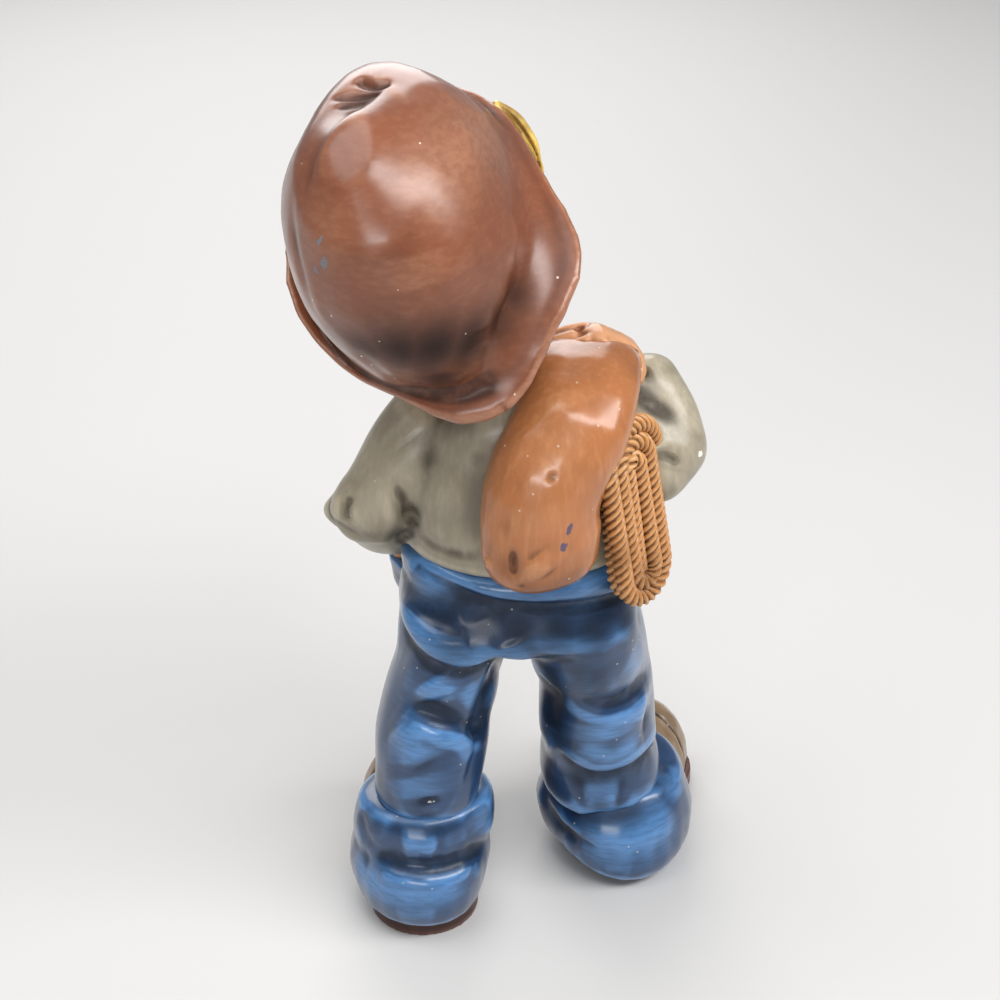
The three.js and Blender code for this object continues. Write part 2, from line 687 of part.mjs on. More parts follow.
giveWay(seatMesh, ropeCoil);

// The origin is under the middle of the figurine's box.
const box = new THREE.Box3().setFromObject(figure, true);
const middle = box.getCenter(V(0, 0, 0));
figure.position.set(-middle.x, -middle.y, -box.min.z);

export default figure;
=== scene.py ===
import math
from functools import partial

import bpy
import numpy as np
from mathutils import Matrix, Vector
from mathutils.bvhtree import BVHTree


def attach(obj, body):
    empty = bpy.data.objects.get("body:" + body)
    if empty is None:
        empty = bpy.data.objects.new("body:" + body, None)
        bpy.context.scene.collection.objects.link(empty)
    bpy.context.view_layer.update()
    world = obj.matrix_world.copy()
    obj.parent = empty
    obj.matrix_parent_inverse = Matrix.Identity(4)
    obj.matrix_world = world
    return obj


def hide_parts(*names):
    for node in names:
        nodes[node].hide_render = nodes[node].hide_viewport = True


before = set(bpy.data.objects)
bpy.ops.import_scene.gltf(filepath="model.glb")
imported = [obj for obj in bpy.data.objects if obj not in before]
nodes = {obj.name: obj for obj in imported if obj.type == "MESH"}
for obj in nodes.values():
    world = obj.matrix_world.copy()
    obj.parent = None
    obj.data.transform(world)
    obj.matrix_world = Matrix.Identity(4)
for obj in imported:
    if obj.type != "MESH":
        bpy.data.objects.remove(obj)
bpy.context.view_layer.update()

# A glazed earthenware boy with a sack and a hank of rope.
# The solid sections are the castings; here they get their soft skin, folds, strands and painted glaze.
# Strokes and outlines are given as points of a 1000 x 1000 picture, laid on the clay from the camera.
mm = 0.001
shift = (-3.583, 8.875)  # from the modelling frame to the one under the box's middle, in mm


def spot(x, y, z):  # a place in the modelling frame, in mm
    return Vector(((x + shift[0]) * mm, (y + shift[1]) * mm, z * mm))


def deselectAll():
    bpy.ops.object.select_all(action="DESELECT")


def pick(piece):
    deselectAll()
    piece.select_set(True)
    bpy.context.view_layer.objects.active = piece


def editAll():
    bpy.ops.object.mode_set(mode="EDIT")
    bpy.ops.mesh.select_all(action="SELECT")


# Camera

viewpoint = {"place": (7.5, 623.5, 528.0), "tiltDown": 30.0, "lens": 73.08, "sensor": 36.0, "picture": 1000}

deselectAll()
tilt = math.radians(90 - viewpoint["tiltDown"])
bpy.ops.object.camera_add(location=spot(*viewpoint["place"]), rotation=(tilt, 0, math.pi))
camera = bpy.context.object
camera.data.lens = viewpoint["lens"]
camera.data.sensor_width = viewpoint["sensor"]
camera.data.clip_start = 0.01
bpy.context.scene.camera = camera

middle = viewpoint["picture"] / 2
farReach = viewpoint["picture"] * viewpoint["lens"] / viewpoint["sensor"]
cameraTurn = np.array(camera.rotation_euler.to_matrix())


def wayThrough(u, v):  # the way from the camera through a point of the picture
    way = Vector(((u - middle) / farReach, (middle - v) / farReach, -1))
    return (camera.rotation_euler.to_matrix() @ way).normalized()


def seenPlace(u, v, far):  # the modelling place that a point shows, so many mm from the camera
    point = camera.location + wayThrough(u, v) * far * mm
    return (point.x / mm - shift[0], point.y / mm - shift[1], point.z / mm)


def seenAt(points):  # where the picture shows points, and how far off they are
    local = (points - np.array(camera.location)) @ cameraTurn
    far = -local[:, 2]
    return np.stack((middle + local[:, 0] / far * farReach, middle - local[:, 1] / far * farReach), 1), far


print("camera set")


# Strokes: a width in mm and a line, then what is done along it

def seen(width, *points, **more):  # over points of the picture
    return {"seen": points, "width": width, **more}


def placed(width, *places, **more):  # near places in the modelling frame
    return {"placed": places, "width": width, **more}


def tint(width, strength, *points, **more):  # a dab of a mask, up to some strength
    return seen(width, *points, strength=strength, **more)


def eased(share):  # a share from 0 to 1, slow at both ends
    return share * share * (3 - 2 * share)


def flowing(places, step):  # a smooth line through places, in steps of about one length
    knots = np.array(places, dtype=float)
    if len(knots) == 1:
        return knots
    ends = np.vstack((2 * knots[0] - knots[1], knots, 2 * knots[-1] - knots[-2]))
    line = []
    for before, a, b, after in zip(ends, ends[1:], ends[2:], ends[3:]):
        count = max(2, int(np.linalg.norm(b - a) / step))
        for t in np.arange(count) / count:
            bend = (2 * before - 5 * a + 4 * b - after) * t * t + (3 * a - before - 3 * b + after) * t ** 3
            line.append(a + ((b - before) * t + bend) / 2)
    line.append(knots[-1])
    return np.array(line)


def pathOn(tree, stroke):  # a stroke's line, laid on the surface
    if "seen" in stroke:
        ways = [wayThrough(u, v) for u, v in flowing(stroke["seen"], step=5)]
        hits = [tree.ray_cast(camera.location, way)[0] for way in ways]
    else:
        hits = [tree.find_nearest(spot(*place))[0] for place in flowing(stroke["placed"], step=2)]
    return np.array([hit for hit in hits if hit])


def alongPath(points, path):  # distance to a path, which side of it, and the share of its length
    if len(path) == 1:
        return np.linalg.norm(points - path[0], axis=1), np.ones(len(points)), np.full(len(points), 0.5)
    tiny = 1e-14
    steep = 0.85  # a path that climbs more than this has a left side in place of an upper one
    runs = path[1:] - path[:-1]
    squares = np.maximum((runs ** 2).sum(1), tiny)
    offset = points[:, None] - path[:-1]
    t = np.clip((offset * runs).sum(2) / squares, 0, 1)
    offset -= t[:, :, None] * runs
    gaps = np.linalg.norm(offset, axis=2)
    rows = np.arange(len(points))
    nearest = gaps.argmin(1)
    lengths = np.sqrt(squares)
    done = np.cumsum(lengths) - lengths
    share = (done[nearest] + t[rows, nearest] * lengths[nearest]) / lengths.sum()
    run = path[-1] - path[0]
    upward = np.array((0, 0, 1.0)) - run * run[2] / max(run @ run, tiny)
    if abs(run[2]) > steep * np.linalg.norm(run):
        upward = np.array((-1.0, 0, 0))
    return gaps[rows, nearest], np.sign(offset[rows, nearest] @ upward), share


def underStroke(points, tree, stroke):  # the points near a stroke, how far off, on which side, how full
    path = pathOn(tree, stroke)
    if len(path) == 0:
        return np.zeros(0, int), np.zeros(0), np.zeros(0), np.zeros(0)
    widths, spreads = 5, 2.5  # how far off a stroke is still felt
    margin = max(widths * stroke["width"], spreads * stroke.get("spread", 0)) * mm
    inside = np.all((points > path.min(0) - margin) & (points < path.max(0) + margin), axis=1)
    near = np.flatnonzero(inside)
    away, side, share = alongPath(points[near], path)
    full = np.ones(len(near))
    if len(path) > 1:
        full = eased(np.clip(np.minimum(share, 1 - share) / stroke.get("fade", 0.2), 0, 1))
    return near, away, side, full


# Working the clay

def castingCopy(name, nodeNames, swell):  # one object from castings that run into each other
    copies = []
    for nodeName in nodeNames:
        part = bpy.data.objects.new(name, nodes[nodeName].data.copy())
        bpy.context.scene.collection.objects.link(part)
        part.data.materials.clear()
        copies.append(part)
    deselectAll()
    for part in copies:
        part.select_set(True)
    bpy.context.view_layer.objects.active = copies[0]
    if len(copies) > 1:
        bpy.ops.object.join()
    piece = bpy.context.view_layer.objects.active
    piece.name = name
    editAll()
    bpy.ops.mesh.remove_doubles(threshold=0.00001)
    bpy.ops.transform.shrink_fatten(value=swell * mm)
    bpy.ops.object.mode_set(mode="OBJECT")
    return piece


def applyAll(piece):
    pick(piece)
    for modifier in list(piece.modifiers):
        bpy.ops.object.modifier_apply(modifier=modifier.name)


def soften(piece, rounds):
    smooth = piece.modifiers.new("soften", "SMOOTH")
    smooth.factor = 0.5
    smooth.iterations = rounds
    applyAll(piece)


def clay(piece, grain, rounds):  # an even skin of small faces, softened
    remesh = piece.modifiers.new("skin", "REMESH")
    remesh.mode = "VOXEL"
    remesh.voxel_size = grain * mm
    applyAll(piece)
    soften(piece, rounds)
    bpy.ops.object.shade_smooth()
    return piece


def pointsOf(piece):
    points = np.empty(len(piece.data.vertices) * 3)
    piece.data.vertices.foreach_get("co", points)
    normals = np.empty(len(points))
    piece.data.vertex_normals.foreach_get("vector", normals)
    return points.reshape(-1, 3), normals.reshape(-1, 3)


def setPoints(piece, points):
    piece.data.vertices.foreach_set("co", points.ravel())
    piece.data.update()


def treeOf(piece):
    corners = [vertex.co for vertex in piece.data.vertices]
    faces = [face.vertices for face in piece.data.polygons]
    return BVHTree.FromPolygons(corners, faces)


def carve(piece, strokes):  # presses the surface in along strokes, or raises it; sizes in mm
    rollAway, rollWide = 2.1, 1.5  # where a roll beside a crease lies, and its breadth, in widths
    points, normals = pointsOf(piece)
    tree = treeOf(piece)
    moved = np.zeros(len(points))
    for stroke in strokes:
        near, away, side, full = underStroke(points, tree, stroke)
        width = stroke["width"] * mm
        amount = -stroke.get("depth", 0) * np.exp(-((away / width) ** 2))
        for key, where in (("above", rollAway), ("below", -rollAway)):
            roll = stroke.get(key, 0)
            amount = amount + roll * np.exp(-(((away * side - where * width) / (rollWide * width)) ** 2))
        if "step" in stroke:  # one side of the line stands out over the other
            lip = np.tanh(away * side / width) * np.exp(-((away / (stroke["spread"] * mm)) ** 2))
            amount = amount + stroke["step"] * lip
        moved[near] += amount * full
    setPoints(piece, points + normals * (moved * mm)[:, None])


def keepFloat(piece, name, values):
    layer = piece.data.attributes.new(name, "FLOAT", "POINT")
    layer.data.foreach_set("value", values.astype(np.float32))


def dab(piece, name, strokes):  # a soft mask along strokes, for the glaze to read
    points = pointsOf(piece)[0]
    tree = treeOf(piece)
    amount = np.zeros(len(points))
    for stroke in strokes:
        near, away, _, full = underStroke(points, tree, stroke)
        strength = stroke.get("strength", 1.0) * np.exp(-((away / (stroke["width"] * mm)) ** 2))
        amount[near] = np.maximum(amount[near], strength * full)
    keepFloat(piece, name, amount)


def dabAll(piece, shape):
    for name in ("chip", "paintedShadeAndWash", "light"):
        if name in shape:
            dab(piece, name, shape[name])


def workOver(piece, shape, rounds):  # folds and seams, softened, then the masks
    carve(piece, shape["strokes"])
    soften(piece, rounds)
    dabAll(piece, shape)


def edgeEnds(piece):  # every edge twice, from either end
    pairs = np.empty(len(piece.data.edges) * 2, dtype=np.int64)
    piece.data.edges.foreach_get("vertices", pairs)
    pairs = pairs.reshape(-1, 2)
    return np.concatenate((pairs[:, 0], pairs[:, 1])), np.concatenate((pairs[:, 1], pairs[:, 0]))


def neighbourMeans(piece):
    ends, others = edgeEnds(piece)
    count = len(piece.data.vertices)
    degree = np.maximum(np.bincount(ends, minlength=count), 1)

    def means(values):
        columns = [np.bincount(ends, values[others, k], count) / degree for k in range(values.shape[1])]
        return np.stack(columns, 1)

    return means


def standingBack(piece, rounds):  # how far each point lies below the same surface, much smoothed
    points, normals = pointsOf(piece)
    means = neighbourMeans(piece)
    soft = points
    for _ in range(rounds):
        soft = means(soft)
    return np.einsum("ij,ij->i", soft - points, normals), soft - points, means


def fillHollows(piece, rounds, share):  # slip run into all the creases
    fullDepth = 0.4 * mm
    spreadRounds = 8
    depth, toSoft, means = standingBack(piece, rounds)
    fill = np.clip(depth / fullDepth, 0, 1)[:, None] * share
    for _ in range(spreadRounds):
        fill = means(fill)
    setPoints(piece, pointsOf(piece)[0] + toSoft * fill)


def drawTaut(piece, stroke, rounds):  # a skin of slip drawn tight over a hollow that the camera sees
    leastShare, leastFacing = 0.02, 0.03
    points, normals = pointsOf(piece)
    near, away, _, full = underStroke(points, treeOf(piece), stroke)
    toCamera = np.array(camera.location) - points[near]
    toCamera /= np.linalg.norm(toCamera, axis=1)[:, None]
    share = full * np.exp(-((away / (stroke["width"] * mm)) ** 4))
    facing = (normals[near] * toCamera).sum(1)
    kept = (share > leastShare) & (facing > leastFacing)
    near, share, toCamera = near[kept], share[kept], toCamera[kept]
    rank = np.full(len(points), -1)
    rank[near] = np.arange(len(near))
    ends, others = edgeEnds(piece)
    used = rank[ends] >= 0
    ends, others = rank[ends[used]], others[used]
    degree = np.maximum(np.bincount(ends, minlength=len(near)), 1)
    for _ in range(rounds):
        sums = [np.bincount(ends, points[others, k], len(near)) for k in range(3)]
        move = np.stack(sums, 1) / degree[:, None] - points[near]
        rising = (move * toCamera).sum(1) > 0
        points[near] += move * (rising * share)[:, None]
    setPoints(piece, points)


def fitOutline(piece, outline, reach):  # draws the edge that the camera sees onto a traced line
    edgeOn = 0.15
    furthest = 7 * mm
    passes = 2
    for _ in range(passes):
        points, normals = pointsOf(piece)
        sight = points - np.array(camera.location)
        facing = np.abs((normals * sight).sum(1)) / np.linalg.norm(sight, axis=1)
        rim = np.flatnonzero(facing < edgeOn)
        rimSeen, rimFar = seenAt(points[rim])
        pull = np.zeros(points.shape)
        weight = np.zeros(len(points))
        for target in flowing(outline, step=10):
            gaps = target - rimSeen
            nearest = np.linalg.norm(gaps, axis=1).argmin()
            across, down = gaps[nearest]
            move = cameraTurn @ np.array((across, -down, 0)) * rimFar[nearest] / farReach
            move *= min(1, furthest / max(np.linalg.norm(move), 1e-9))
            near = np.exp(-((np.linalg.norm(points - points[rim[nearest]], axis=1) / (reach * mm)) ** 2))
            pull += near[:, None] * move
            weight += near
        setPoints(piece, points + pull / np.maximum(weight, 1)[:, None])


def feelRelief(piece):  # how deep each point lies in a crease or on a fold, against what is round it
    for name, rounds, around, reach in (("crevice", 12, 60, 0.22), ("fold", 60, 200, 0.7)):
        depth, _, means = standingBack(piece, rounds)
        depth = means(depth[:, None] / (reach * mm))
        level = depth
        for _ in range(around):
            level = means(level)
        keepFloat(piece, name, np.clip(0.5 + 0.5 * (depth - level)[:, 0], 0, 1))


def settle(piece, glaze, slotName, *nodeNames):  # glaze it, tie it to the body and hide its castings
    feelRelief(piece)
    piece.data.materials.clear()
    piece.data.materials.append(glaze)
    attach(piece, "root")
    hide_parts(*nodeNames)
    print(piece.name, len(piece.data.polygons), "faces")


# Glazes

def newNode(tree, kind, **settings):
    node = tree.nodes.new(kind)
    for key, value in settings.items():
        setattr(node, key, value)
    return node


def feed(tree, socket, value):  # a plain value or a link
    if isinstance(value, (int, float, tuple)):
        socket.default_value = value
    else:
        tree.links.new(value, socket)


def between(tree, value, low, high, toLow=0.0, toHigh=1.0):  # a smooth step of a value
    step = newNode(tree, "ShaderNodeMapRange", interpolation_type="SMOOTHSTEP")
    feed(tree, step.inputs["Value"], value)
    for name, number in (("From Min", low), ("From Max", high), ("To Min", toLow), ("To Max", toHigh)):
        feed(tree, step.inputs[name], number)
    return step.outputs["Result"]


def math2(tree, operation, a, b):
    node = newNode(tree, "ShaderNodeMath", operation=operation)
    feed(tree, node.inputs[0], a)
    feed(tree, node.inputs[1], b)
    return node.outputs[0]


def vectorMath(tree, operation, *vectors):
    node = newNode(tree, "ShaderNodeVectorMath", operation=operation)
    for socket, vector in zip(node.inputs, vectors):
        feed(tree, socket, vector)
    return node.outputs["Value" if operation == "LENGTH" else "Vector"]


def over(tree, under, top, share):  # one colour laid over another by a mask
    mix = newNode(tree, "ShaderNodeMix", data_type="RGBA")
    feed(tree, mix.inputs[0], share)
    feed(tree, mix.inputs[6], under)
    feed(tree, mix.inputs[7], top)
    return mix.outputs[2]


def noise(tree, vector, scale, detail, rough):
    node = newNode(tree, "ShaderNodeTexNoise")
    feed(tree, node.inputs["Vector"], vector)
    node.inputs["Scale"].default_value = scale
    node.inputs["Detail"].default_value = detail
    node.inputs["Roughness"].default_value = rough
    return node.outputs[0]


def newGroup(name, sockets):  # a group with its sockets, and what goes in and out of it
    group = bpy.data.node_groups.new(name, "ShaderNodeTree")
    for way, kind, socketNames in sockets:
        for socketName in socketNames:
            group.interface.new_socket(socketName, in_out=way, socket_type="NodeSocket" + kind)
    return group, newNode(group, "NodeGroupInput").outputs, newNode(group, "NodeGroupOutput").inputs


def makeGlazeGroup():  # paint brushed over clay, dark wash and painted shade in the creases and hollows, dry brush and painted highlights on the folds
    group, given, result = newGroup("brushedGlaze", [
        ("INPUT", "Color", ("paint", "dryBrushAndHighlight", "washAndShade", "chip")),
        ("INPUT", "Float", ("washAndShadeAmount", "dryBrushAndHighlightAmount", "streaks", "mottle", "specks", "gloss")),
        ("INPUT", "Vector", ("stretch",)),
        ("OUTPUT", "Color", ("Color",)),
        ("OUTPUT", "Float", ("Roughness", "Height", "Shine")),
    ])
    bareClay = (0.75, 0.64, 0.5, 1)
    times = partial(math2, group, "MULTIPLY")
    plus = partial(math2, group, "ADD")
    minus = partial(math2, group, "SUBTRACT")
    most = partial(math2, group, "MAXIMUM")
    ramp = partial(between, group)
    lay = partial(over, group)

    def felt(name):  # a mask kept on the mesh
        return newNode(group, "ShaderNodeAttribute", attribute_name=name).outputs["Fac"]

    place = newNode(group, "ShaderNodeTexCoord").outputs["Object"]
    stretched = vectorMath(group, "MULTIPLY", place, given["stretch"])
    streak = noise(group, stretched, scale=1.0, detail=4.0, rough=0.6)
    cloud = noise(group, place, scale=42.0, detail=3.0, rough=0.6)
    patch = noise(group, place, scale=150.0, detail=3.0, rough=0.6)
    grain = noise(group, place, scale=900.0, detail=2.0, rough=0.5)
    torn = noise(group, place, scale=620.0, detail=3.0, rough=0.65)

    # dark wash in the fine creases, painted shade in the broad hollows of the folds and wherever the dark
    # dabs lie
    deep = ramp(felt("crevice"), low=0.58, high=0.95, toHigh=0.65)
    hollow = most(deep, ramp(felt("fold"), low=0.54, high=0.95))
    pooledWashAndShade = times(hollow, ramp(patch, low=0.25, high=0.6, toLow=0.6))
    washedAndShaded = most(times(pooledWashAndShade, given["washAndShadeAmount"]), felt("paintedShadeAndWash"))
    # dry brush on the raised folds, with painted highlights wherever the light dabs lie
    raisedAndHighlit = most(ramp(felt("fold"), low=0.46, high=0.12), felt("light"))
    raisedAndHighlit = times(raisedAndHighlit, ramp(streak, low=0.32, high=0.62, toLow=0.65))
    raisedAndHighlit = times(raisedAndHighlit, ramp(cloud, low=0.3, high=0.6, toLow=0.8))
    mottled = times(ramp(cloud, low=0.36, high=0.72), given["mottle"])
    streaked = times(ramp(streak, low=0.42, high=0.8), given["streaks"])

    cells = newNode(group, "ShaderNodeTexVoronoi", feature="F1")  # sparse specks where the glaze missed
    feed(group, cells.inputs["Vector"], place)
    cells.inputs["Scale"].default_value = 170.0
    dots = ramp(cells.outputs["Distance"], low=0.085, high=0.05)
    few = ramp(cells.outputs["Color"], low=0.58, high=0.62)
    specks = times(times(dots, few), given["specks"])
    ragged = plus(felt("chip"), times(minus(torn, 0.5), 1.5))
    chipped = times(ramp(ragged, low=0.5, high=0.56), ramp(felt("chip"), low=0.12, high=0.3))

    paint = lay(given["paint"], given["washAndShade"], mottled)
    # painted highlights and dry brush, then brush streaks, then painted shade and wash
    paint = lay(paint, given["dryBrushAndHighlight"], times(raisedAndHighlit, given["dryBrushAndHighlightAmount"]))
    paint = lay(paint, given["dryBrushAndHighlight"], streaked)
    paint = lay(paint, given["washAndShade"], washedAndShaded)
    paint = lay(paint, bareClay, specks)
    feed(group, result["Color"], lay(paint, given["chip"], chipped))

    dull = plus(plus(times(patch, 0.12), times(washedAndShaded, 0.2)), times(chipped, 0.3))
    feed(group, result["Roughness"], plus(given["gloss"], dull))
    relief = plus(times(streak, 0.7), times(grain, 0.3))
    feed(group, result["Height"], minus(relief, chipped))
    feed(group, result["Shine"], minus(1.0, times(most(washedAndShaded, chipped), 0.92)))
    return group


brushedGlaze = makeGlazeGroup()


def glazeOf(name, look):
    material = bpy.data.materials.new(name)
    material.use_nodes = True
    tree = material.node_tree
    tree.nodes.clear()
    shader = newNode(tree, "ShaderNodeBsdfPrincipled")
    output = newNode(tree, "ShaderNodeOutputMaterial")
    feed(tree, output.inputs["Surface"], shader.outputs[0])
    brushed = newNode(tree, "ShaderNodeGroup", node_tree=brushedGlaze, name="brushed")
    for socket in brushed.inputs:
        value = look[socket.name]
        socket.default_value = (*value, 1) if socket.type == "RGBA" else value
    bump = newNode(tree, "ShaderNodeBump")
    bump.inputs["Strength"].default_value = look["brushMarks"]
    bump.inputs["Distance"].default_value = 0.5 * mm
    feed(tree, bump.inputs["Height"], brushed.outputs["Height"])
    feed(tree, shader.inputs["Base Color"], brushed.outputs["Color"])
    feed(tree, shader.inputs["Roughness"], brushed.outputs["Roughness"])
    feed(tree, shader.inputs["Normal"], bump.outputs["Normal"])
    coat = math2(tree, "MULTIPLY", brushed.outputs["Shine"], look["coat"])
    feed(tree, shader.inputs["Coat Weight"], coat)
    shader.inputs["Specular IOR Level"].default_value = 0.2
    shader.inputs["Coat Roughness"].default_value = look["coatRough"]
    return material


# Colours, how much of each layer there is, how fine the brush streaks run along x, y and z, and the coat
looks = {
    "hat": {
        "paint": (0.225, 0.071, 0.032), "dryBrushAndHighlight": (0.52, 0.25, 0.145), "washAndShade": (0.022, 0.008, 0.005),
        "chip": (0.2, 0.2, 0.22), "washAndShadeAmount": 0.8, "dryBrushAndHighlightAmount": 0.5, "streaks": 0.12,
        "mottle": 0.28, "specks": 0.9, "gloss": 0.3, "stretch": (240, 240, 520),
        "brushMarks": 0.22, "coat": 0.85, "coatRough": 0.26,
    },
    "hair": {
        "paint": (0.58, 0.34, 0.06), "dryBrushAndHighlight": (0.85, 0.62, 0.16), "washAndShade": (0.1, 0.045, 0.014),
        "chip": (0.7, 0.6, 0.45), "washAndShadeAmount": 1.0, "dryBrushAndHighlightAmount": 0.8, "streaks": 0.2,
        "mottle": 0.15, "specks": 0.2, "gloss": 0.3, "stretch": (300, 300, 300),
        "brushMarks": 0.15, "coat": 0.6, "coatRough": 0.18,
    },
    "skin": {
        "paint": (0.64, 0.32, 0.16), "dryBrushAndHighlight": (0.75, 0.43, 0.24), "washAndShade": (0.2, 0.06, 0.02),
        "chip": (0.7, 0.6, 0.5), "washAndShadeAmount": 0.85, "dryBrushAndHighlightAmount": 0.3, "streaks": 0.08,
        "mottle": 0.06, "specks": 0.15, "gloss": 0.3, "stretch": (200, 200, 200),
        "brushMarks": 0.06, "coat": 0.6, "coatRough": 0.2,
    },
    "shirt": {
        "paint": (0.3, 0.26, 0.185), "dryBrushAndHighlight": (0.64, 0.56, 0.42), "washAndShade": (0.04, 0.03, 0.018),
        "chip": (0.8, 0.78, 0.72), "washAndShadeAmount": 0.9, "dryBrushAndHighlightAmount": 0.4, "streaks": 0.16,
        "mottle": 0.22, "specks": 0.4, "gloss": 0.36, "stretch": (420, 420, 110),
        "brushMarks": 0.12, "coat": 0.6, "coatRough": 0.28,
    },
    "sack": {
        "paint": (0.42, 0.155, 0.054), "dryBrushAndHighlight": (0.7, 0.36, 0.17), "washAndShade": (0.06, 0.022, 0.012),
        "chip": (0.13, 0.09, 0.13), "washAndShadeAmount": 0.85, "dryBrushAndHighlightAmount": 0.3, "streaks": 0.22,
        "mottle": 0.16, "specks": 0.5, "gloss": 0.26, "stretch": (420, 420, 70),
        "brushMarks": 0.1, "coat": 0.75, "coatRough": 0.2,
    },
    "rope": {
        "paint": (0.52, 0.23, 0.075), "dryBrushAndHighlight": (0.76, 0.43, 0.18), "washAndShade": (0.045, 0.017, 0.008),
        "chip": (0.6, 0.55, 0.5), "washAndShadeAmount": 1.0, "dryBrushAndHighlightAmount": 0.8, "streaks": 0.15,
        "mottle": 0.12, "specks": 0.3, "gloss": 0.36, "stretch": (300, 300, 300),
        "brushMarks": 0.15, "coat": 0.5, "coatRough": 0.2,
    },
    "jeans": {
        "paint": (0.014, 0.046, 0.12), "dryBrushAndHighlight": (0.11, 0.29, 0.6), "washAndShade": (0.005, 0.009, 0.018),
        "chip": (0.5, 0.46, 0.4), "washAndShadeAmount": 0.8, "dryBrushAndHighlightAmount": 0.8, "streaks": 0.06,
        "mottle": 0.2, "specks": 0.4, "gloss": 0.26, "stretch": (110, 110, 620),
        "brushMarks": 0.14, "coat": 1.0, "coatRough": 0.24,
    },
    "shoe": {
        "paint": (0.24, 0.16, 0.095), "dryBrushAndHighlight": (0.42, 0.31, 0.21), "washAndShade": (0.035, 0.018, 0.01),
        "chip": (0.02, 0.015, 0.012), "washAndShadeAmount": 0.95, "dryBrushAndHighlightAmount": 0.5, "streaks": 0.12,
        "mottle": 0.3, "specks": 0.4, "gloss": 0.28, "stretch": (120, 120, 300),
        "brushMarks": 0.12, "coat": 0.7, "coatRough": 0.18,
    },
    "sole": {
        "paint": (0.085, 0.034, 0.026), "dryBrushAndHighlight": (0.2, 0.1, 0.07), "washAndShade": (0.014, 0.007, 0.006),
        "chip": (0.5, 0.4, 0.3), "washAndShadeAmount": 0.9, "dryBrushAndHighlightAmount": 0.4, "streaks": 0.2,
        "mottle": 0.4, "specks": 0.5, "gloss": 0.36, "stretch": (90, 90, 500),
        "brushMarks": 0.15, "coat": 0.4, "coatRough": 0.22,
    },
}
glazes = {name: glazeOf(name + "_glaze", look) for name, look in looks.items()}
print("glazes mixed")


# Hat: crown and brim as one skin, with a pinch at the top of the crown

hatShape = {
    "outline": [
        (375, 60), (350, 75), (328, 97), (306, 134), (290, 168), (281, 205), (283, 232), (292, 272),
        (303, 306), (328, 336), (366, 372), (396, 392), (426, 413), (462, 424), (492, 420), (520, 402),
        (536, 378), (548, 345), (564, 316), (577, 287), (585, 254), (578, 234), (556, 196), (532, 152),
        (506, 113), (480, 96), (440, 78), (410, 66), (375, 60),
    ],
    "taut": seen(16, (474, 104), (494, 116), (520, 160), (540, 205), (547, 245), (540, 295), (515, 340),
                 (480, 366), fade=0.12),
    "strokes": [
        # the pinch
        seen(9, (362, 92), depth=1.0),
        seen(1.7, (354, 78), (373, 84), (394, 81), depth=1.8),
        seen(1.3, (330, 98), (360, 95), (382, 91), depth=1.1),
        seen(1.1, (334, 107), (350, 104), (367, 100), depth=0.9),
        seen(1.0, (343, 115), (361, 109), depth=0.7),
        # where the crown meets the brim
        seen(3.2, (296, 176), (292, 218), (298, 262), (314, 310), (341, 338), depth=0.8, fade=0.45),
        seen(4, (341, 338), (369, 362), (400, 383), (436, 390), (478, 381), (500, 353), depth=0.6),
        seen(5, (481, 330), (478, 352), depth=0.8),
    ],
    "chip": [
        seen(2.0, (318, 239), (321, 243), fade=0.01),
        seen(2.6, (321, 260), (327, 266), fade=0.01),
        seen(1.4, (316, 270)),
        seen(1.4, (356, 66), (366, 65), fade=0.01),
    ],
    # painted shade over the lower crown above the brim, where the crown turns down away from the light
    "paintedShadeAndWash": [
        tint(10, 0.8, (368, 348)), tint(14, 0.95, (400, 350)), tint(16, 1.0, (436, 348)),
        tint(15, 1.0, (470, 342)), tint(12, 0.9, (496, 320)), tint(9, 0.8, (514, 296)),
        tint(10, 0.85, (440, 378)), tint(4, 0.6, (500, 415), (528, 396)),
    ],
    # painted highlights: the streak across the crown, sheens on its left side and middle, and a faint one
    # on the right brim
    "light": [
        tint(7, 0.15, (556, 290), (540, 340), (520, 380)),
        tint(14, 1.0, (390, 220), (440, 168), (490, 118)), tint(10, 0.7, (326, 226)),
        tint(12, 0.5, (420, 250), (428, 290)),
    ],
}

hatPiece = clay(castingCopy("hat", ["hat_crown", "hat_brim"], swell=0.8), grain=0.9, rounds=30)
fillHollows(hatPiece, rounds=160, share=0.6)
fitOutline(hatPiece, hatShape["outline"], reach=14)
drawTaut(hatPiece, hatShape["taut"], rounds=900)
soften(hatPiece, rounds=12)
workOver(hatPiece, hatShape, rounds=3)
settle(hatPiece, glazes["hat"], "hat_glaze", "hat_crown", "hat_brim")

# Jeans: seat, waistband and legs, with slack folds and a full left pocket

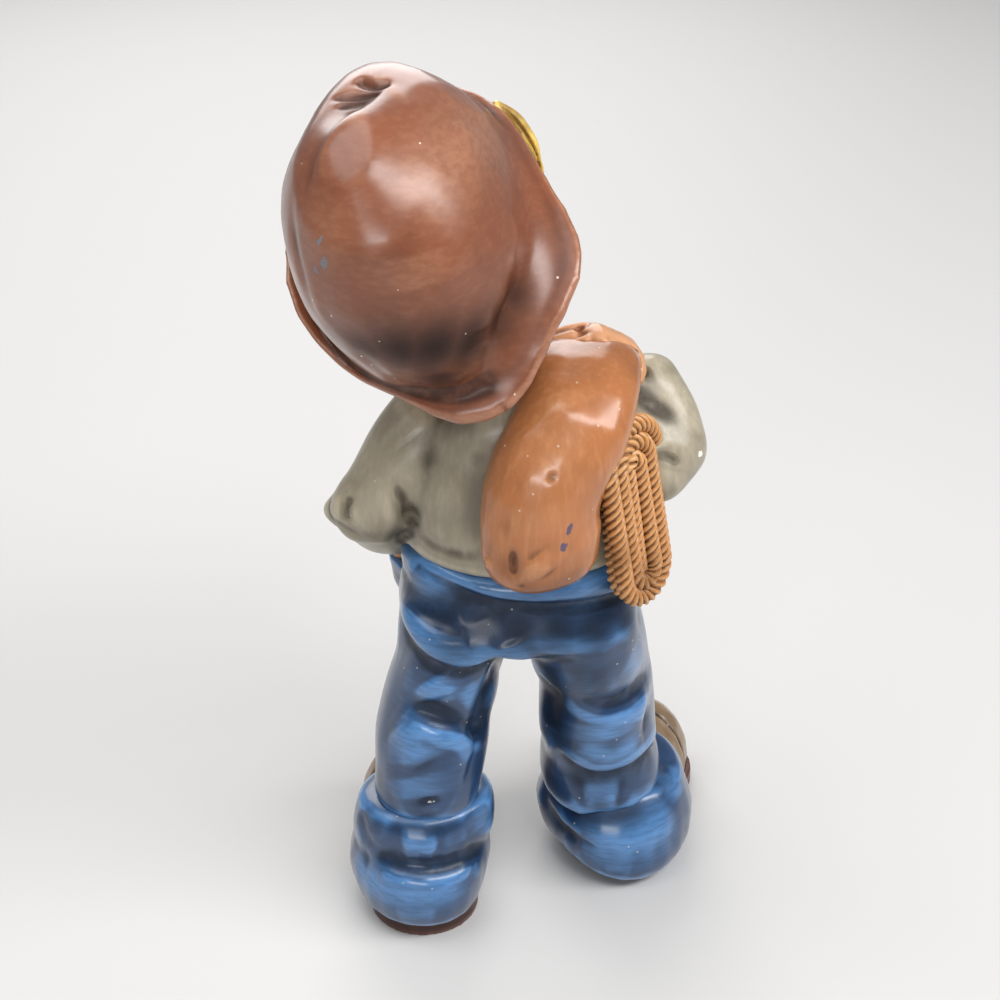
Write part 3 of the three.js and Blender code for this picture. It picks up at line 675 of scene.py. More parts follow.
jeansShape = {
    "leftEdge": [
        (400, 566), (401, 593), (401, 621), (398, 644), (391, 666), (383, 688), (378, 707), (377, 732),
        (376, 757), (377, 782), (380, 801), (386, 813),
    ],
    "leftInside": [
        (497, 658), (494, 678), (491, 707), (490, 726), (487, 748), (482, 764), (478, 782), (472, 801),
        (466, 817),
    ],
    "rightInside": [
        (530, 650), (537, 663), (542, 681), (542, 700), (539, 719), (539, 745), (541, 770), (548, 789),
        (562, 806),
    ],
    "rightEdge": [
        (638, 609), (645, 631), (651, 656), (653, 681), (652, 707), (652, 726), (656, 751), (656, 779),
        (650, 797),
    ],
    "crotch": [(497, 659), (503, 650), (512, 646), (521, 647), (531, 653)],
    "strokes": [
        # the waistband's lower edge
        seen(1.2, (416, 556), (436, 571), (462, 586), (497, 598), (545, 602), (600, 596), (640, 582),
             step=1.2, spread=5, fade=0.05),
        # the seat
        seen(11, (424, 580), depth=-2.0),
        seen(2.6, (398, 600), (408, 630), (428, 655), (460, 667), (486, 661), (506, 646), step=2.4,
             spread=12, fade=0.25),
        seen(6, (486, 606), (503, 630), (515, 648), depth=1.2),
        seen(3.0, (514, 632), (536, 648), (566, 655), (602, 650), (636, 630), step=1.2, spread=10,
             fade=0.35),
        # folds at the back of the left leg
        seen(7, (426, 682), (440, 700), depth=-1.2),
        seen(3.2, (402, 692), (418, 712), (440, 726), (466, 734), (492, 738), step=-2.3, spread=11,
             fade=0.3),
        seen(6, (398, 724), (412, 748), (424, 766), depth=-1.2),
        seen(1.4, (419, 803), (430, 801), (441, 800), depth=1.1, below=0.5),
        # folds at the back of the right leg
        seen(3.2, (556, 688), (580, 705), (606, 710), (634, 700), (652, 680), step=-2.3, spread=11,
             fade=0.3),
        seen(2.6, (548, 736), (572, 760), (598, 770), (628, 763), (654, 742), step=2.3, spread=10,
             fade=0.3),
        seen(6, (582, 794), (620, 794), depth=-1.0),
        seen(6, (548, 680), (552, 730), depth=1.2),
        # the fly with its stitching, and the right pocket
        placed(0.8, (2, -36, 143), (3, -36, 130), (-1, -35, 121), depth=0.8, fade=0.05),
        placed(0.7, (10, -36, 143), (10, -36, 132), (5, -35, 124), (-1, -34, 120), depth=0.45, fade=0.05),
        placed(0.9, (-25, -36, 143), (-32, -34, 137), (-44, -22, 131), depth=0.8, fade=0.05),
        # folds at the front
        placed(4.0, (-8, -34, 118), (-20, -36, 121), (-34, -34, 124), depth=0.8, fade=0.4),
        placed(4.0, (8, -34, 118), (20, -36, 119), (30, -34, 122), depth=0.8, fade=0.4),
        placed(4.0, (6, -6, 94), (22, -24, 84), (40, -24, 86), (54, -8, 94), step=1.5, spread=12,
               fade=0.35),
        placed(4.0, (8, -6, 66), (24, -24, 60), (42, -22, 62), (56, -6, 68), step=-1.3, spread=10,
               fade=0.35),
        placed(4.0, (-56, -16, 86), (-44, -36, 78), (-26, -38, 79), (-10, -20, 88), step=1.5, spread=12,
               fade=0.35),
        placed(4.0, (-58, -20, 58), (-46, -38, 52), (-28, -38, 53), (-12, -22, 60), step=-1.3, spread=10,
               fade=0.35),
    ],
    # painted highlights on the seat, the bulges of both legs and the folds, over the dry brush
    "light": [
        tint(9, 0.85, (430, 574)), tint(7, 0.8, (428, 676), (438, 702)),
        tint(9, 0.95, (394, 722), (404, 742), (420, 766)), tint(9, 0.7, (410, 776), (420, 800)),
        tint(11, 0.95, (604, 722), (608, 742)), tint(5, 0.9, (576, 742), (610, 756), (642, 738)),
        tint(7, 0.6, (626, 660), (642, 668)), tint(6, 0.6, (580, 790), (620, 792)),
        tint(9, 0.5, (592, 590)), tint(3, 0.8, (440, 558), (480, 582)),
    ],
    # painted shade under the seat, in the crotch and down the inner legs
    "paintedShadeAndWash": [
        tint(9, 0.75, (456, 640)), tint(10, 0.75, (484, 626)), tint(11, 0.85, (520, 632)),
        tint(11, 0.85, (556, 632)), tint(10, 0.8, (592, 632)), tint(8, 0.7, (630, 622)),
        tint(9, 0.85, (552, 660), (556, 700), (552, 750)), tint(11, 0.55, (590, 682)),
        tint(5, 0.7, (484, 676), (482, 710), (478, 750)), tint(4, 0.35, (590, 776), (610, 776)),
    ],
    "chip": [
        seen(0.5, (425, 803), (432, 801), (438, 800), fade=0.45),
    ],
}
pouchShape = {
    "layers": 4, "stepIn": (-2.5, 4.0, -0.5), "swell": 2.2,
    "cutAt": (40, -28, 130), "cutAcross": (-0.3, 0, 1),
}

jeansNodes = ["jeans_seat", "waistband", "left_leg", "right_leg"]
pouches = []
for layer in range(pouchShape["layers"]):  # the pocket's front, from the fingers in to the hip
    pouch = castingCopy("pocketPouch", ["left_hand"], pouchShape["swell"])
    editAll()
    cutAt = spot(*pouchShape["cutAt"])
    bpy.ops.mesh.bisect(plane_co=cutAt, plane_no=pouchShape["cutAcross"], use_fill=True, clear_outer=True)
    bpy.ops.mesh.select_all(action="SELECT")
    bpy.ops.transform.translate(value=[away * layer * mm for away in pouchShape["stepIn"]])
    bpy.ops.object.mode_set(mode="OBJECT")
    pouches.append(pouch)
jeansPiece = castingCopy("jeans", jeansNodes, swell=0.9)
for pouch in pouches:
    pouch.select_set(True)
bpy.ops.object.join()
clay(jeansPiece, grain=0.95, rounds=60)
fillHollows(jeansPiece, rounds=60, share=0.6)
soften(jeansPiece, rounds=20)
for edgeName in ("leftEdge", "leftInside", "rightInside", "rightEdge"):
    fitOutline(jeansPiece, jeansShape[edgeName], reach=12)
fitOutline(jeansPiece, jeansShape["crotch"], reach=8)
soften(jeansPiece, rounds=6)
workOver(jeansPiece, jeansShape, rounds=3)
settle(jeansPiece, glazes["jeans"], "jeans_glaze", *jeansNodes)

# Turn-ups: two soft rolls over the heels

leftTurnUpShape = {
    "outline": [
        (371, 774), (359, 795), (352, 824), (350, 850), (354, 872), (363, 892), (374, 908), (392, 920),
        (419, 926), (446, 923), (466, 912), (476, 898), (481, 880), (488, 852), (494, 816), (494, 790),
    ],
    "strokes": [
        seen(3.0, (366, 848), (384, 862), (410, 871), (436, 872), (462, 864), (486, 846), step=-2.4,
             spread=9, fade=0.25),
        seen(3.5, (358, 812), (366, 836), (374, 852), depth=0.8),
        seen(5, (400, 846), (440, 848), depth=-0.8),
    ],
    # painted sheen on the tops of the rolls and along their edges
    "light": [
        tint(7, 0.9, (352, 850), (370, 880), (400, 894), (440, 890), (470, 870)),
        tint(7, 0.7, (400, 840), (424, 844)), tint(5, 0.5, (480, 800), (484, 830)),
        tint(5, 0.6, (392, 912), (440, 914)),
    ],
    # painted shade under the leg's edge and in the roll's groove
    "paintedShadeAndWash": [
        tint(6, 0.35, (366, 806), (372, 836)), tint(4, 0.55, (384, 820), (420, 828), (462, 822)),
        tint(6, 0.3, (460, 840), (474, 852)),
    ],
}
rightTurnUpShape = {
    "outline": [
        (534, 781), (537, 800), (548, 821), (562, 843), (580, 861), (605, 876), (630, 881), (655, 873),
        (674, 857), (687, 830), (691, 802), (684, 770), (671, 745), (656, 727),
    ],
    "strokes": [
        seen(4, (540, 792), (556, 820), (584, 848), depth=0.8),
        seen(10, (610, 838), depth=-0.8),
    ],
    # painted sheen on the top of the roll and its right edge
    "light": [
        tint(9, 0.9, (576, 832), (610, 846), (650, 836), (676, 806)),
        tint(6, 0.7, (668, 770), (680, 800)), tint(4, 0.5, (600, 866), (636, 868)),
    ],
    # painted shade under the leg's edge and down the turn-up's left side
    "paintedShadeAndWash": [
        tint(4, 0.6, (560, 810), (605, 819), (650, 806)), tint(5, 0.4, (540, 800), (560, 836)),
        tint(3, 0.25, (662, 756), (668, 790)),
    ],
}

for sideName, shape in (("left", leftTurnUpShape), ("right", rightTurnUpShape)):
    turnUp = clay(castingCopy(sideName + "TurnUp", [sideName + "_cuff"], swell=0.6), grain=0.85, rounds=30)
    fitOutline(turnUp, shape["outline"], reach=12)
    soften(turnUp, rounds=6)
    workOver(turnUp, shape, rounds=3)
    settle(turnUp, glazes["jeans"], "jeans_glaze", sideName + "_cuff")

# Shirt: bloused over the waistband, with a pointed fold at the left elbow

shirtShape = {
    "leftSleeve": [
        (393, 397), (373, 424), (357, 456), (341, 484), (329, 501), (323, 510), (327, 519), (343, 528),
        (357, 542), (373, 552), (390, 555), (402, 546),
    ],
    "elbowPoint": [(337, 490), (329, 500), (322, 509), (328, 519), (338, 525)],
    "taut": seen(10, (340, 508), (352, 522), (372, 536), (392, 538), fade=0.12),
    "rightSleeve": [
        (640, 352), (657, 353), (673, 366), (689, 388), (703, 421), (706, 443), (703, 462), (689, 484),
        (670, 498), (655, 506),
    ],
    "strokes": [
        # the left elbow and armpit
        seen(2.2, (351, 494), (346, 508), (347, 522), depth=1.1),
        seen(3, (331, 510), (340, 512), depth=-1.0),
        seen(3.2, (394, 470), (400, 495), (409, 520), (416, 536), depth=1.5, fade=0.35),
        # the back, down to the hem
        seen(14, (440, 500), depth=-1.4),
        seen(3.0, (414, 531), (436, 547), (460, 555), (486, 556), depth=0.4, above=0.5),
        seen(5, (482, 440), (476, 480), (478, 530), depth=0.5),
        # the right sleeve, then the left shoulder
        seen(2.4, (642, 374), (650, 370), depth=1.6, fade=0.05),
        seen(3.4, (644, 399), (663, 412), (688, 424), depth=0.4, fade=0.45),
        seen(4, (652, 386), (670, 384), (682, 392), depth=-0.5, fade=0.4),
        seen(2.2, (652, 452), (672, 458), (681, 468), depth=0.8, above=0.5, fade=0.3),
        seen(7, (662, 480), depth=-0.8),
        seen(8, (395, 420), (410, 440), depth=-0.6),
        # the collar, the placket and folds at the front
        placed(1.2, (-5, -18, 217), (3, -27, 216), (13, -30, 215), (23, -28, 216), (31, -18, 217),
               step=1.3, spread=4, fade=0.1),
        placed(1.3, (13, -28, 225), (13, -31, 215), depth=1.6, fade=0.1),
        placed(0.8, (9, -34, 213), (5, -37, 195), (1, -37, 175), (-1, -37, 154), depth=0.6, fade=0.04),
        placed(0.8, (17, -34, 213), (13, -37, 195), (9, -37, 175), (7, -37, 154), depth=0.6, fade=0.04),
        placed(5.0, (38, -20, 190), (30, -30, 178), (22, -35, 172), depth=0.6, fade=0.45),
        placed(4.0, (-34, -18, 160), (-14, -34, 161), (14, -36, 160), (34, -20, 162), depth=-0.8,
               fade=0.15),
    ],
    # painted shade in the elbow and armpit folds, down the back, beside the right hand and on the sleeve
    # folds
    "paintedShadeAndWash": [
        tint(2.0, 0.5, (347, 500), (346, 522)), tint(4, 0.45, (402, 494), (408, 520), (415, 538)),
        tint(7, 0.5, (374, 536)), tint(6, 0.7, (394, 534)),
        tint(5, 0.4, (478, 460), (474, 510), (482, 548)), tint(3.4, 0.7, (644, 374)),
        tint(1.8, 0.4, (654, 452), (674, 459), (680, 468)), tint(5, 0.35, (656, 500), (680, 486)),
        tint(5, 0.45, (440, 420), (480, 426)),
    ],
    # painted highlights on both sleeves and a thin one along the hem
    "light": [
        tint(13, 1.0, (662, 376), (690, 410), (698, 440)),
        tint(9, 0.7, (660, 420), (680, 450), (676, 476)), tint(7, 0.4, (376, 430), (350, 480)),
        tint(1.6, 0.8, (470, 554), (440, 548)),
    ],
    "chip": [
        seen(1.5, (700, 450), (701, 456), fade=0.01),
    ],
    "buttons": [(12.5, -37, 207), (8.5, -39, 190), (5, -39, 173), (3.5, -39, 157)],
}

shirtNodes = ["shirt_body", "left_sleeve", "right_sleeve", "shirt_collar"]
shirtPiece = clay(castingCopy("shirt", shirtNodes, swell=0.8), grain=0.95, rounds=40)
fillHollows(shirtPiece, rounds=90, share=0.6)
soften(shirtPiece, rounds=20)
for edgeName in ("leftSleeve", "rightSleeve"):
    fitOutline(shirtPiece, shirtShape[edgeName], reach=11)
soften(shirtPiece, rounds=5)
fitOutline(shirtPiece, shirtShape["elbowPoint"], reach=4)
drawTaut(shirtPiece, shirtShape["taut"], rounds=500)
soften(shirtPiece, rounds=6)
carve(shirtPiece, shirtShape["strokes"])
soften(shirtPiece, rounds=3)
carve(shirtPiece, [placed(2.1, place, depth=-1.5) for place in shirtShape["buttons"]])
dabAll(shirtPiece, shirtShape)
settle(shirtPiece, glazes["shirt"], "shirt_glaze", *shirtNodes)

# Sack: down the back from the right shoulder, its mouth hanging in front

sackShape = {
    "leftEdge": [
        (540, 350), (524, 386), (512, 414), (497, 440), (487, 468), (481, 503), (480, 538), (484, 558),
        (491, 578), (506, 590), (530, 594), (554, 590), (576, 581), (592, 566), (600, 547),
    ],
    "rightEdge": [
        (601, 522), (603, 490), (609, 459), (620, 437), (635, 411), (640, 389), (637, 372), (628, 356),
        (612, 345), (594, 340), (574, 341), (556, 347),
    ],
    "strokes": [
        # dents, a seam and bumps at the back
        seen(1.9, (513, 544), (513, 562), (514, 582), depth=1.7, fade=0.45),
        seen(5, (504, 530), depth=0.5),
        seen(6, (530, 560), (545, 575), depth=-0.8),
        seen(1.6, (552, 477), depth=0.4),
        seen(1.0, (487, 556), (489, 570), (490, 588), depth=-0.9),
        seen(9, (556, 400), depth=-1.6),
        # wrinkles of the mouth
        placed(1.0, (-30, -42, 208), (-32, -47, 196), (-35, -44, 184), depth=0.6, fade=0.45),
        placed(1.0, (-27, -42, 210), (-28, -48, 196), (-29, -48, 178), depth=0.7, fade=0.45),
        placed(1.0, (-23, -42, 210), (-22, -48, 198), (-22, -48, 180), depth=0.6, fade=0.45),
        placed(1.0, (-20, -42, 208), (-17, -46, 196), (-14, -44, 186), depth=0.6, fade=0.45),
        placed(2.5, (-36, -32, 208), (-30, -42, 210), (-22, -43, 210), (-14, -34, 208), depth=0.8),
    ],
    # painted shade in the dents and the seam, along the bottom, and darker round the top
    "paintedShadeAndWash": [
        tint(5, 0.5, (510, 568)), tint(1.7, 0.9, (513, 544), (514, 582), fade=0.45),
        tint(1.5, 0.6, (552, 477)), tint(1.5, 0.8, (522, 586)),
        tint(6, 0.4, (510, 588), (550, 590), (590, 568)),
        tint(6, 0.3, (560, 350), (604, 346), (630, 362), (638, 390)),
    ],
    # painted highlights on the top and middle of the sack, and a thin one down its left edge
    "light": [
        tint(8, 0.8, (556, 390), (566, 412)), tint(10, 0.4, (540, 500), (545, 540)),
        tint(11, 0.6, (558, 456)), tint(1.0, 1.0, (490, 560), (491, 586)),
    ],
    "chip": [
        seen(1.3, (573, 512), (570, 528), (565, 545), fade=0.6),
        seen(1.8, (561, 547), (567, 547), fade=0.01),
    ],
}

sackPiece = clay(castingCopy("carriedSack", ["sack"], swell=0.6), grain=0.8, rounds=30)
fillHollows(sackPiece, rounds=60, share=0.5)
for edgeName in ("leftEdge", "rightEdge"):
    fitOutline(sackPiece, sackShape[edgeName], reach=11)
soften(sackPiece, rounds=8)
workOver(sackPiece, sackShape, rounds=2)
settle(sackPiece, glazes["sack"], "sack_glaze", "sack")

# Rope hank: one rope of four strands, wound in long loops, its back layer beside the front one

ropeShape = {
    "hangsFrom": (-37.0, 24.0, 196.0), "turnedBy": -130.0, "lean": 8.0,
    "thick": 6.8, "pitch": 5.8, "turns": 2, "tall": 70.0, "inner": 2.8, "tube": 4.8, "climbTurns": 0.3,
    "strands": 4, "plump": 1.06, "lay": 12.5, "perTurn": 400, "step": 0.4, "softRounds": 6, "sides": 24,
    # painted shade low on the hank and near its top under the sack
    "paintedShadeAndWash": [
        tint(8, 0.5, (646, 576)), tint(7, 0.4, (620, 560)), tint(6, 0.35, (612, 450)),
    ],
}
ropeStraight = ropeShape["tall"] - 2 * (ropeShape["inner"] + ropeShape["pitch"] * ropeShape["turns"])


def ropePlace(turns):  # the winding's centre line, in mm in its own frame
    shape = ropeShape
    outward = min(turns, 2 * shape["turns"] - turns)
    radius = shape["inner"] + shape["pitch"] * outward
    climb = (turns - shape["turns"] + shape["climbTurns"] / 2) / shape["climbTurns"]
    climb = eased(min(max(climb, 0), 1))
    layer = shape["pitch"] * climb
    aside = shape["pitch"] / 2 * climb
    along = (turns % 1) * 2 * (ropeStraight + math.pi * radius)
    if along < ropeStraight:
        return (aside + radius, layer, -along)
    along -= ropeStraight
    if along < math.pi * radius:
        angle = along / radius
        return (aside + radius * math.cos(angle), layer, -ropeStraight - radius * math.sin(angle))
    along -= math.pi * radius
    if along < ropeStraight:
        return (aside - radius, layer, along - ropeStraight)
    angle = (along - ropeStraight) / radius
    return (aside - radius * math.cos(angle), layer, radius * math.sin(angle))


def ropeLine():  # evenly spaced points from the heart of the hank out, back a layer and in again
    shape = ropeShape
    inner = shape["inner"]
    endX = shape["pitch"] / 2 + inner
    coarse = [(-inner, 0.6, -ropeStraight), (-inner, 0.6, 0), (0, 0.4, inner)]
    coarse += [ropePlace(i / shape["perTurn"]) for i in range(shape["perTurn"] * 2 * shape["turns"])]
    coarse += [(endX, shape["pitch"], 0), (endX, shape["pitch"], -shape["tube"])]
    coarse = np.array(coarse)
    lengths = np.concatenate(([0], np.cumsum(np.linalg.norm(np.diff(coarse, axis=0), axis=1))))
    marks = np.arange(0, lengths[-1], shape["step"])
    line = np.stack([np.interp(marks, lengths, coarse[:, k]) for k in range(3)], 1)
    for _ in range(shape["softRounds"]):
        line[1:-1] = (line[:-2] + 2 * line[1:-1] + line[2:]) / 4
    return marks, line


def makeRope():
    shape = ropeShape
    sides = shape["sides"]
    marks, line = ropeLine()
    ahead = np.gradient(line, axis=0)
    ahead /= np.linalg.norm(ahead, axis=1)[:, None]
    side = np.array((0, 1.0, 0)) - ahead * ahead[:, 1:2]
    side /= np.linalg.norm(side, axis=1)[:, None]
    out = np.cross(ahead, side)
    spin = Matrix.Rotation(math.radians(shape["lean"]), 3, "Y")
    spin = np.array(spin @ Matrix.Rotation(math.radians(shape["turnedBy"]), 3, "Z"))
    corners = []
    sector = 2 * math.pi / shape["strands"]
    lobeOut = 1 / (1 + math.sin(sector / 2))  # a strand's middle and its radius, in shares of the rope's
    lobeWide = shape["plump"] * (1 - lobeOut)
    for i, mark in enumerate(marks):
        phase = 2 * math.pi * mark / shape["lay"]
        for k in range(sides):
            angle = 2 * math.pi * k / sides
            lobe = (angle - phase) % sector - sector / 2
            swell = lobeOut * math.cos(lobe)
            swell += math.sqrt(max(lobeWide ** 2 - (lobeOut * math.sin(lobe)) ** 2, 0))
            reach = shape["thick"] / 2 * swell
            place = line[i] + reach * (math.cos(angle) * side[i] + math.sin(angle) * out[i])
            corners.append(spot(*(spin @ place + np.array(shape["hangsFrom"]))))
    faces = []
    for i in range(len(marks) - 1):
        for k in range(sides):
            after = (k + 1) % sides
            faces.append((i * sides + k, i * sides + after, (i + 1) * sides + after, (i + 1) * sides + k))
    faces.append(tuple(range(sides - 1, -1, -1)))
    last = (len(marks) - 1) * sides
    faces.append(tuple(range(last, last + sides)))
    mesh = bpy.data.meshes.new("ropeHank")
    mesh.from_pydata(corners, [], faces)
    piece = bpy.data.objects.new("ropeHank", mesh)
    bpy.context.scene.collection.objects.link(piece)
    pick(piece)
    editAll()
    bpy.ops.mesh.normals_make_consistent(inside=False)
    bpy.ops.object.mode_set(mode="OBJECT")
    bpy.ops.object.shade_smooth()
    return piece


ropePiece = makeRope()
dabAll(ropePiece, ropeShape)
settle(ropePiece, glazes["rope"], "rope_glaze", "rope_coil")

# Hands: the left one is in its pocket, the right one holds the neck of the sack

handShape = {
    "outline": [(560, 333), (578, 329), (600, 326), (620, 332), (634, 344), (641, 357)],
    "strokes": [seen(1.4, (578, 326), (582, 336), depth=1.2, fade=0.05)],
}

leftHand = clay(castingCopy("leftHand", ["left_hand"], swell=0.4), grain=0.6, rounds=20)
settle(leftHand, glazes["skin"], "skin_glaze", "left_hand")
rightHand = clay(castingCopy("rightHand", ["right_hand"], swell=1.2), grain=0.5, rounds=30)
fitOutline(rightHand, handShape["outline"], reach=9)
soften(rightHand, rounds=3)
carve(rightHand, handShape["strokes"])
settle(rightHand, glazes["skin"], "skin_glaze", "right_hand")

# Head: a calm, plain face, modelled shallow and painted

headShape = {
    "place": (27.0, -14.0, 256.02), "nod": -16.0, "lean": 13.0, "turn": 4.0,
    "eyeOut": 13.0, "eyeUp": 3.0, "mouthDown": 18.5, "cheekOut": 18.0, "cheekDown": 9.0,
}
facePaint = {
    "blush": (0.62, 0.17, 0.09, 1), "freckles": (0.36, 0.13, 0.05, 1), "lips": (0.5, 0.12, 0.08, 1),
    "brows": (0.3, 0.15, 0.04, 1), "lids": (0.05, 0.022, 0.012, 1), "whites": (0.82, 0.78, 0.7, 1),
    "irises": (0.09, 0.17, 0.26, 1), "pupils": (0.008, 0.008, 0.01, 1), "glints": (0.9, 0.88, 0.85, 1),
}
eyeOut = headShape["eyeOut"]
eyeUp = headShape["eyeUp"]
mouth = -headShape["mouthDown"]
cheek = (headShape["cheekOut"], -headShape["cheekDown"])
headTurn = Matrix.Rotation(math.radians(headShape["nod"]), 3, "X")
headTurn = headTurn @ Matrix.Rotation(math.radians(headShape["lean"]), 3, "Y")
headTurn = headTurn @ Matrix.Rotation(math.radians(headShape["turn"]), 3, "Z")


def onHead(*places):  # places in the head's own frame, with its face to -y, in mm
    return [tuple(headTurn @ Vector(place) + Vector(headShape["place"])) for place in places]


def onFace(width, *places, **more):  # a stroke over places in the head's own frame
    return placed(width, *onHead(*places), **more)


def faceStrokes():
    strokes = [  # the mouth, what is under it, the chin, and the groove above
        onFace(0.9, (-9, -34, mouth + 1), (-4, -36, mouth), (0, -37, mouth - 0.3), (4, -36, mouth),
               (9, -34, mouth + 1), depth=1.1, above=0.7, below=0.9),
        onFace(3.5, (0, -36, mouth - 5), depth=1.0),
        onFace(6, (0, -33, mouth - 11), depth=-1.6),
        onFace(1.3, (0, -38, mouth + 8), (0, -38, mouth + 4), depth=0.6, fade=0.05),
    ]
    for side in (-1, 1):
        strokes += [  # socket, eye, lid, brow, cheek, nostril and its groove, corner of the mouth, ear
            onFace(6, (side * eyeOut, -34, eyeUp), depth=1.5),
            onFace(3.4, (side * eyeOut, -34, eyeUp), depth=-1.1),
            onFace(0.8, (side * (eyeOut - 5), -34, eyeUp + 1), (side * eyeOut, -34, eyeUp + 3.6),
                   (side * (eyeOut + 5.5), -32, eyeUp + 0.6), depth=0.7, above=0.5),
            onFace(2.4, (side * 6, -36, eyeUp + 7), (side * eyeOut, -35, eyeUp + 9),
                   (side * 20, -30, eyeUp + 6), depth=-0.8),
            onFace(8, (side * cheek[0], -28, cheek[1]), depth=-1.6),
            onFace(2.4, (side * 5, -38, -6), depth=-0.9),
            onFace(1.0, (side * 6.6, -36, -3), (side * 7.4, -35, -7), depth=0.7),
            onFace(2.4, (side * 11, -33, mouth + 1.5), depth=0.5),
            onFace(2.2, (side * 37, 2, -1), (side * 37, 2, -8), depth=1.8),
        ]
    return strokes


headPiece = clay(castingCopy("headAndNeck", ["head"], swell=0.4), grain=0.7, rounds=44)
fillHollows(headPiece, rounds=40, share=0.5)
carve(headPiece, faceStrokes())
soften(headPiece, rounds=2)


def makeOvalGroup():  # a soft oval on the face, from a point in the face's own mm
    group, given, result = newGroup("paintedOval", [
        ("INPUT", "Vector", ("Point", "Middle", "Radii")),
        ("INPUT", "Float", ("Soft",)),
        ("OUTPUT", "Float", ("Mask",)),
    ])
    offset = vectorMath(group, "SUBTRACT", given["Point"], given["Middle"])
    length = vectorMath(group, "LENGTH", vectorMath(group, "DIVIDE", offset, given["Radii"]))
    outer = math2(group, "ADD", given["Soft"], 1.0)
    inner = math2(group, "SUBTRACT", 1.0, given["Soft"])
    feed(group, result["Mask"], between(group, length, outer, inner))
    return group


paintedOval = makeOvalGroup()


def faceGlazeOf(look):
    material = glazeOf("face_glaze", look)
    tree = material.node_tree
    times = partial(math2, tree, "MULTIPLY")
    faceFrame = newNode(tree, "ShaderNodeMapping", vector_type="TEXTURE")
    feed(tree, faceFrame.inputs["Vector"], newNode(tree, "ShaderNodeTexCoord").outputs["Object"])
    faceFrame.inputs["Location"].default_value = spot(*headShape["place"])
    faceFrame.inputs["Rotation"].default_value = headTurn.to_euler("XYZ")
    faceFrame.inputs["Scale"].default_value = (mm, mm, mm)
    parts = newNode(tree, "ShaderNodeSeparateXYZ")
    feed(tree, parts.inputs[0], faceFrame.outputs[0])
    front = between(tree, parts.outputs["Y"], low=-18.0, high=-22.0)

    def flattened(x):
        flat = newNode(tree, "ShaderNodeCombineXYZ")
        feed(tree, flat.inputs["X"], x)
        feed(tree, flat.inputs["Z"], parts.outputs["Z"])
        return flat.outputs[0]

    bothHalves = flattened(math2(tree, "ABSOLUTE", parts.outputs["X"], 0.0))
    wholeFace = flattened(parts.outputs["X"])

    def oval(x, z, wide, tall, soft, point=bothHalves):
        node = newNode(tree, "ShaderNodeGroup", node_tree=paintedOval)
        feed(tree, node.inputs["Point"], point)
        node.inputs["Middle"].default_value = (x, 0, z)
        node.inputs["Radii"].default_value = (wide, 1, tall)
        node.inputs["Soft"].default_value = soft
        return times(node.outputs["Mask"], front)

    freckles = noise(tree, faceFrame.outputs[0], scale=0.55, detail=1.0, rough=0.4)
    freckles = times(between(tree, freckles, low=0.68, high=0.72), oval(11, -5, 11, 4.5, 0.4))
    brows = math2(tree, "SUBTRACT", oval(eyeOut, 6.0, 8.4, 6.6, 0.08), oval(eyeOut, 4.6, 9.6, 6.6, 0.08))
    whites = oval(eyeOut, eyeUp, 4.8, 3.2, 0.06)
    coats = [
        ("blush", times(oval(*cheek, 9, 7.5, 0.7), 0.5)),
        ("freckles", times(freckles, 0.7)),
        ("lips", times(oval(0, mouth, 8.2, 2.5, 0.16), 0.75)),
        ("brows", times(between(tree, brows, low=0.0, high=0.5), 0.85)),
        ("lids", oval(eyeOut + 0.3, eyeUp + 0.55, 5.4, 3.6, 0.07)),
        ("whites", whites),
        ("irises", times(oval(eyeOut - 0.3, eyeUp + 0.1, 2.8, 2.9, 0.06), whites)),
        ("pupils", times(oval(eyeOut - 0.3, eyeUp + 0.1, 1.4, 1.5, 0.1), whites)),
    ]
    for side in (-1, 1):
        coats.append(("glints", oval(side * (eyeOut - 0.3) + 0.9, eyeUp + 1.1, 0.6, 0.6, 0.2, wholeFace)))
    colour = tree.nodes["brushed"].outputs["Color"]
    for name, mask in coats:
        colour = over(tree, colour, facePaint[name], mask)
    feed(tree, tree.nodes["Principled BSDF"].inputs["Base Color"], colour)
    return material


settle(headPiece, faceGlazeOf(looks["skin"]), "skin_glaze", "head")

# Hair: tapered locks of a tousled fringe, pressed together

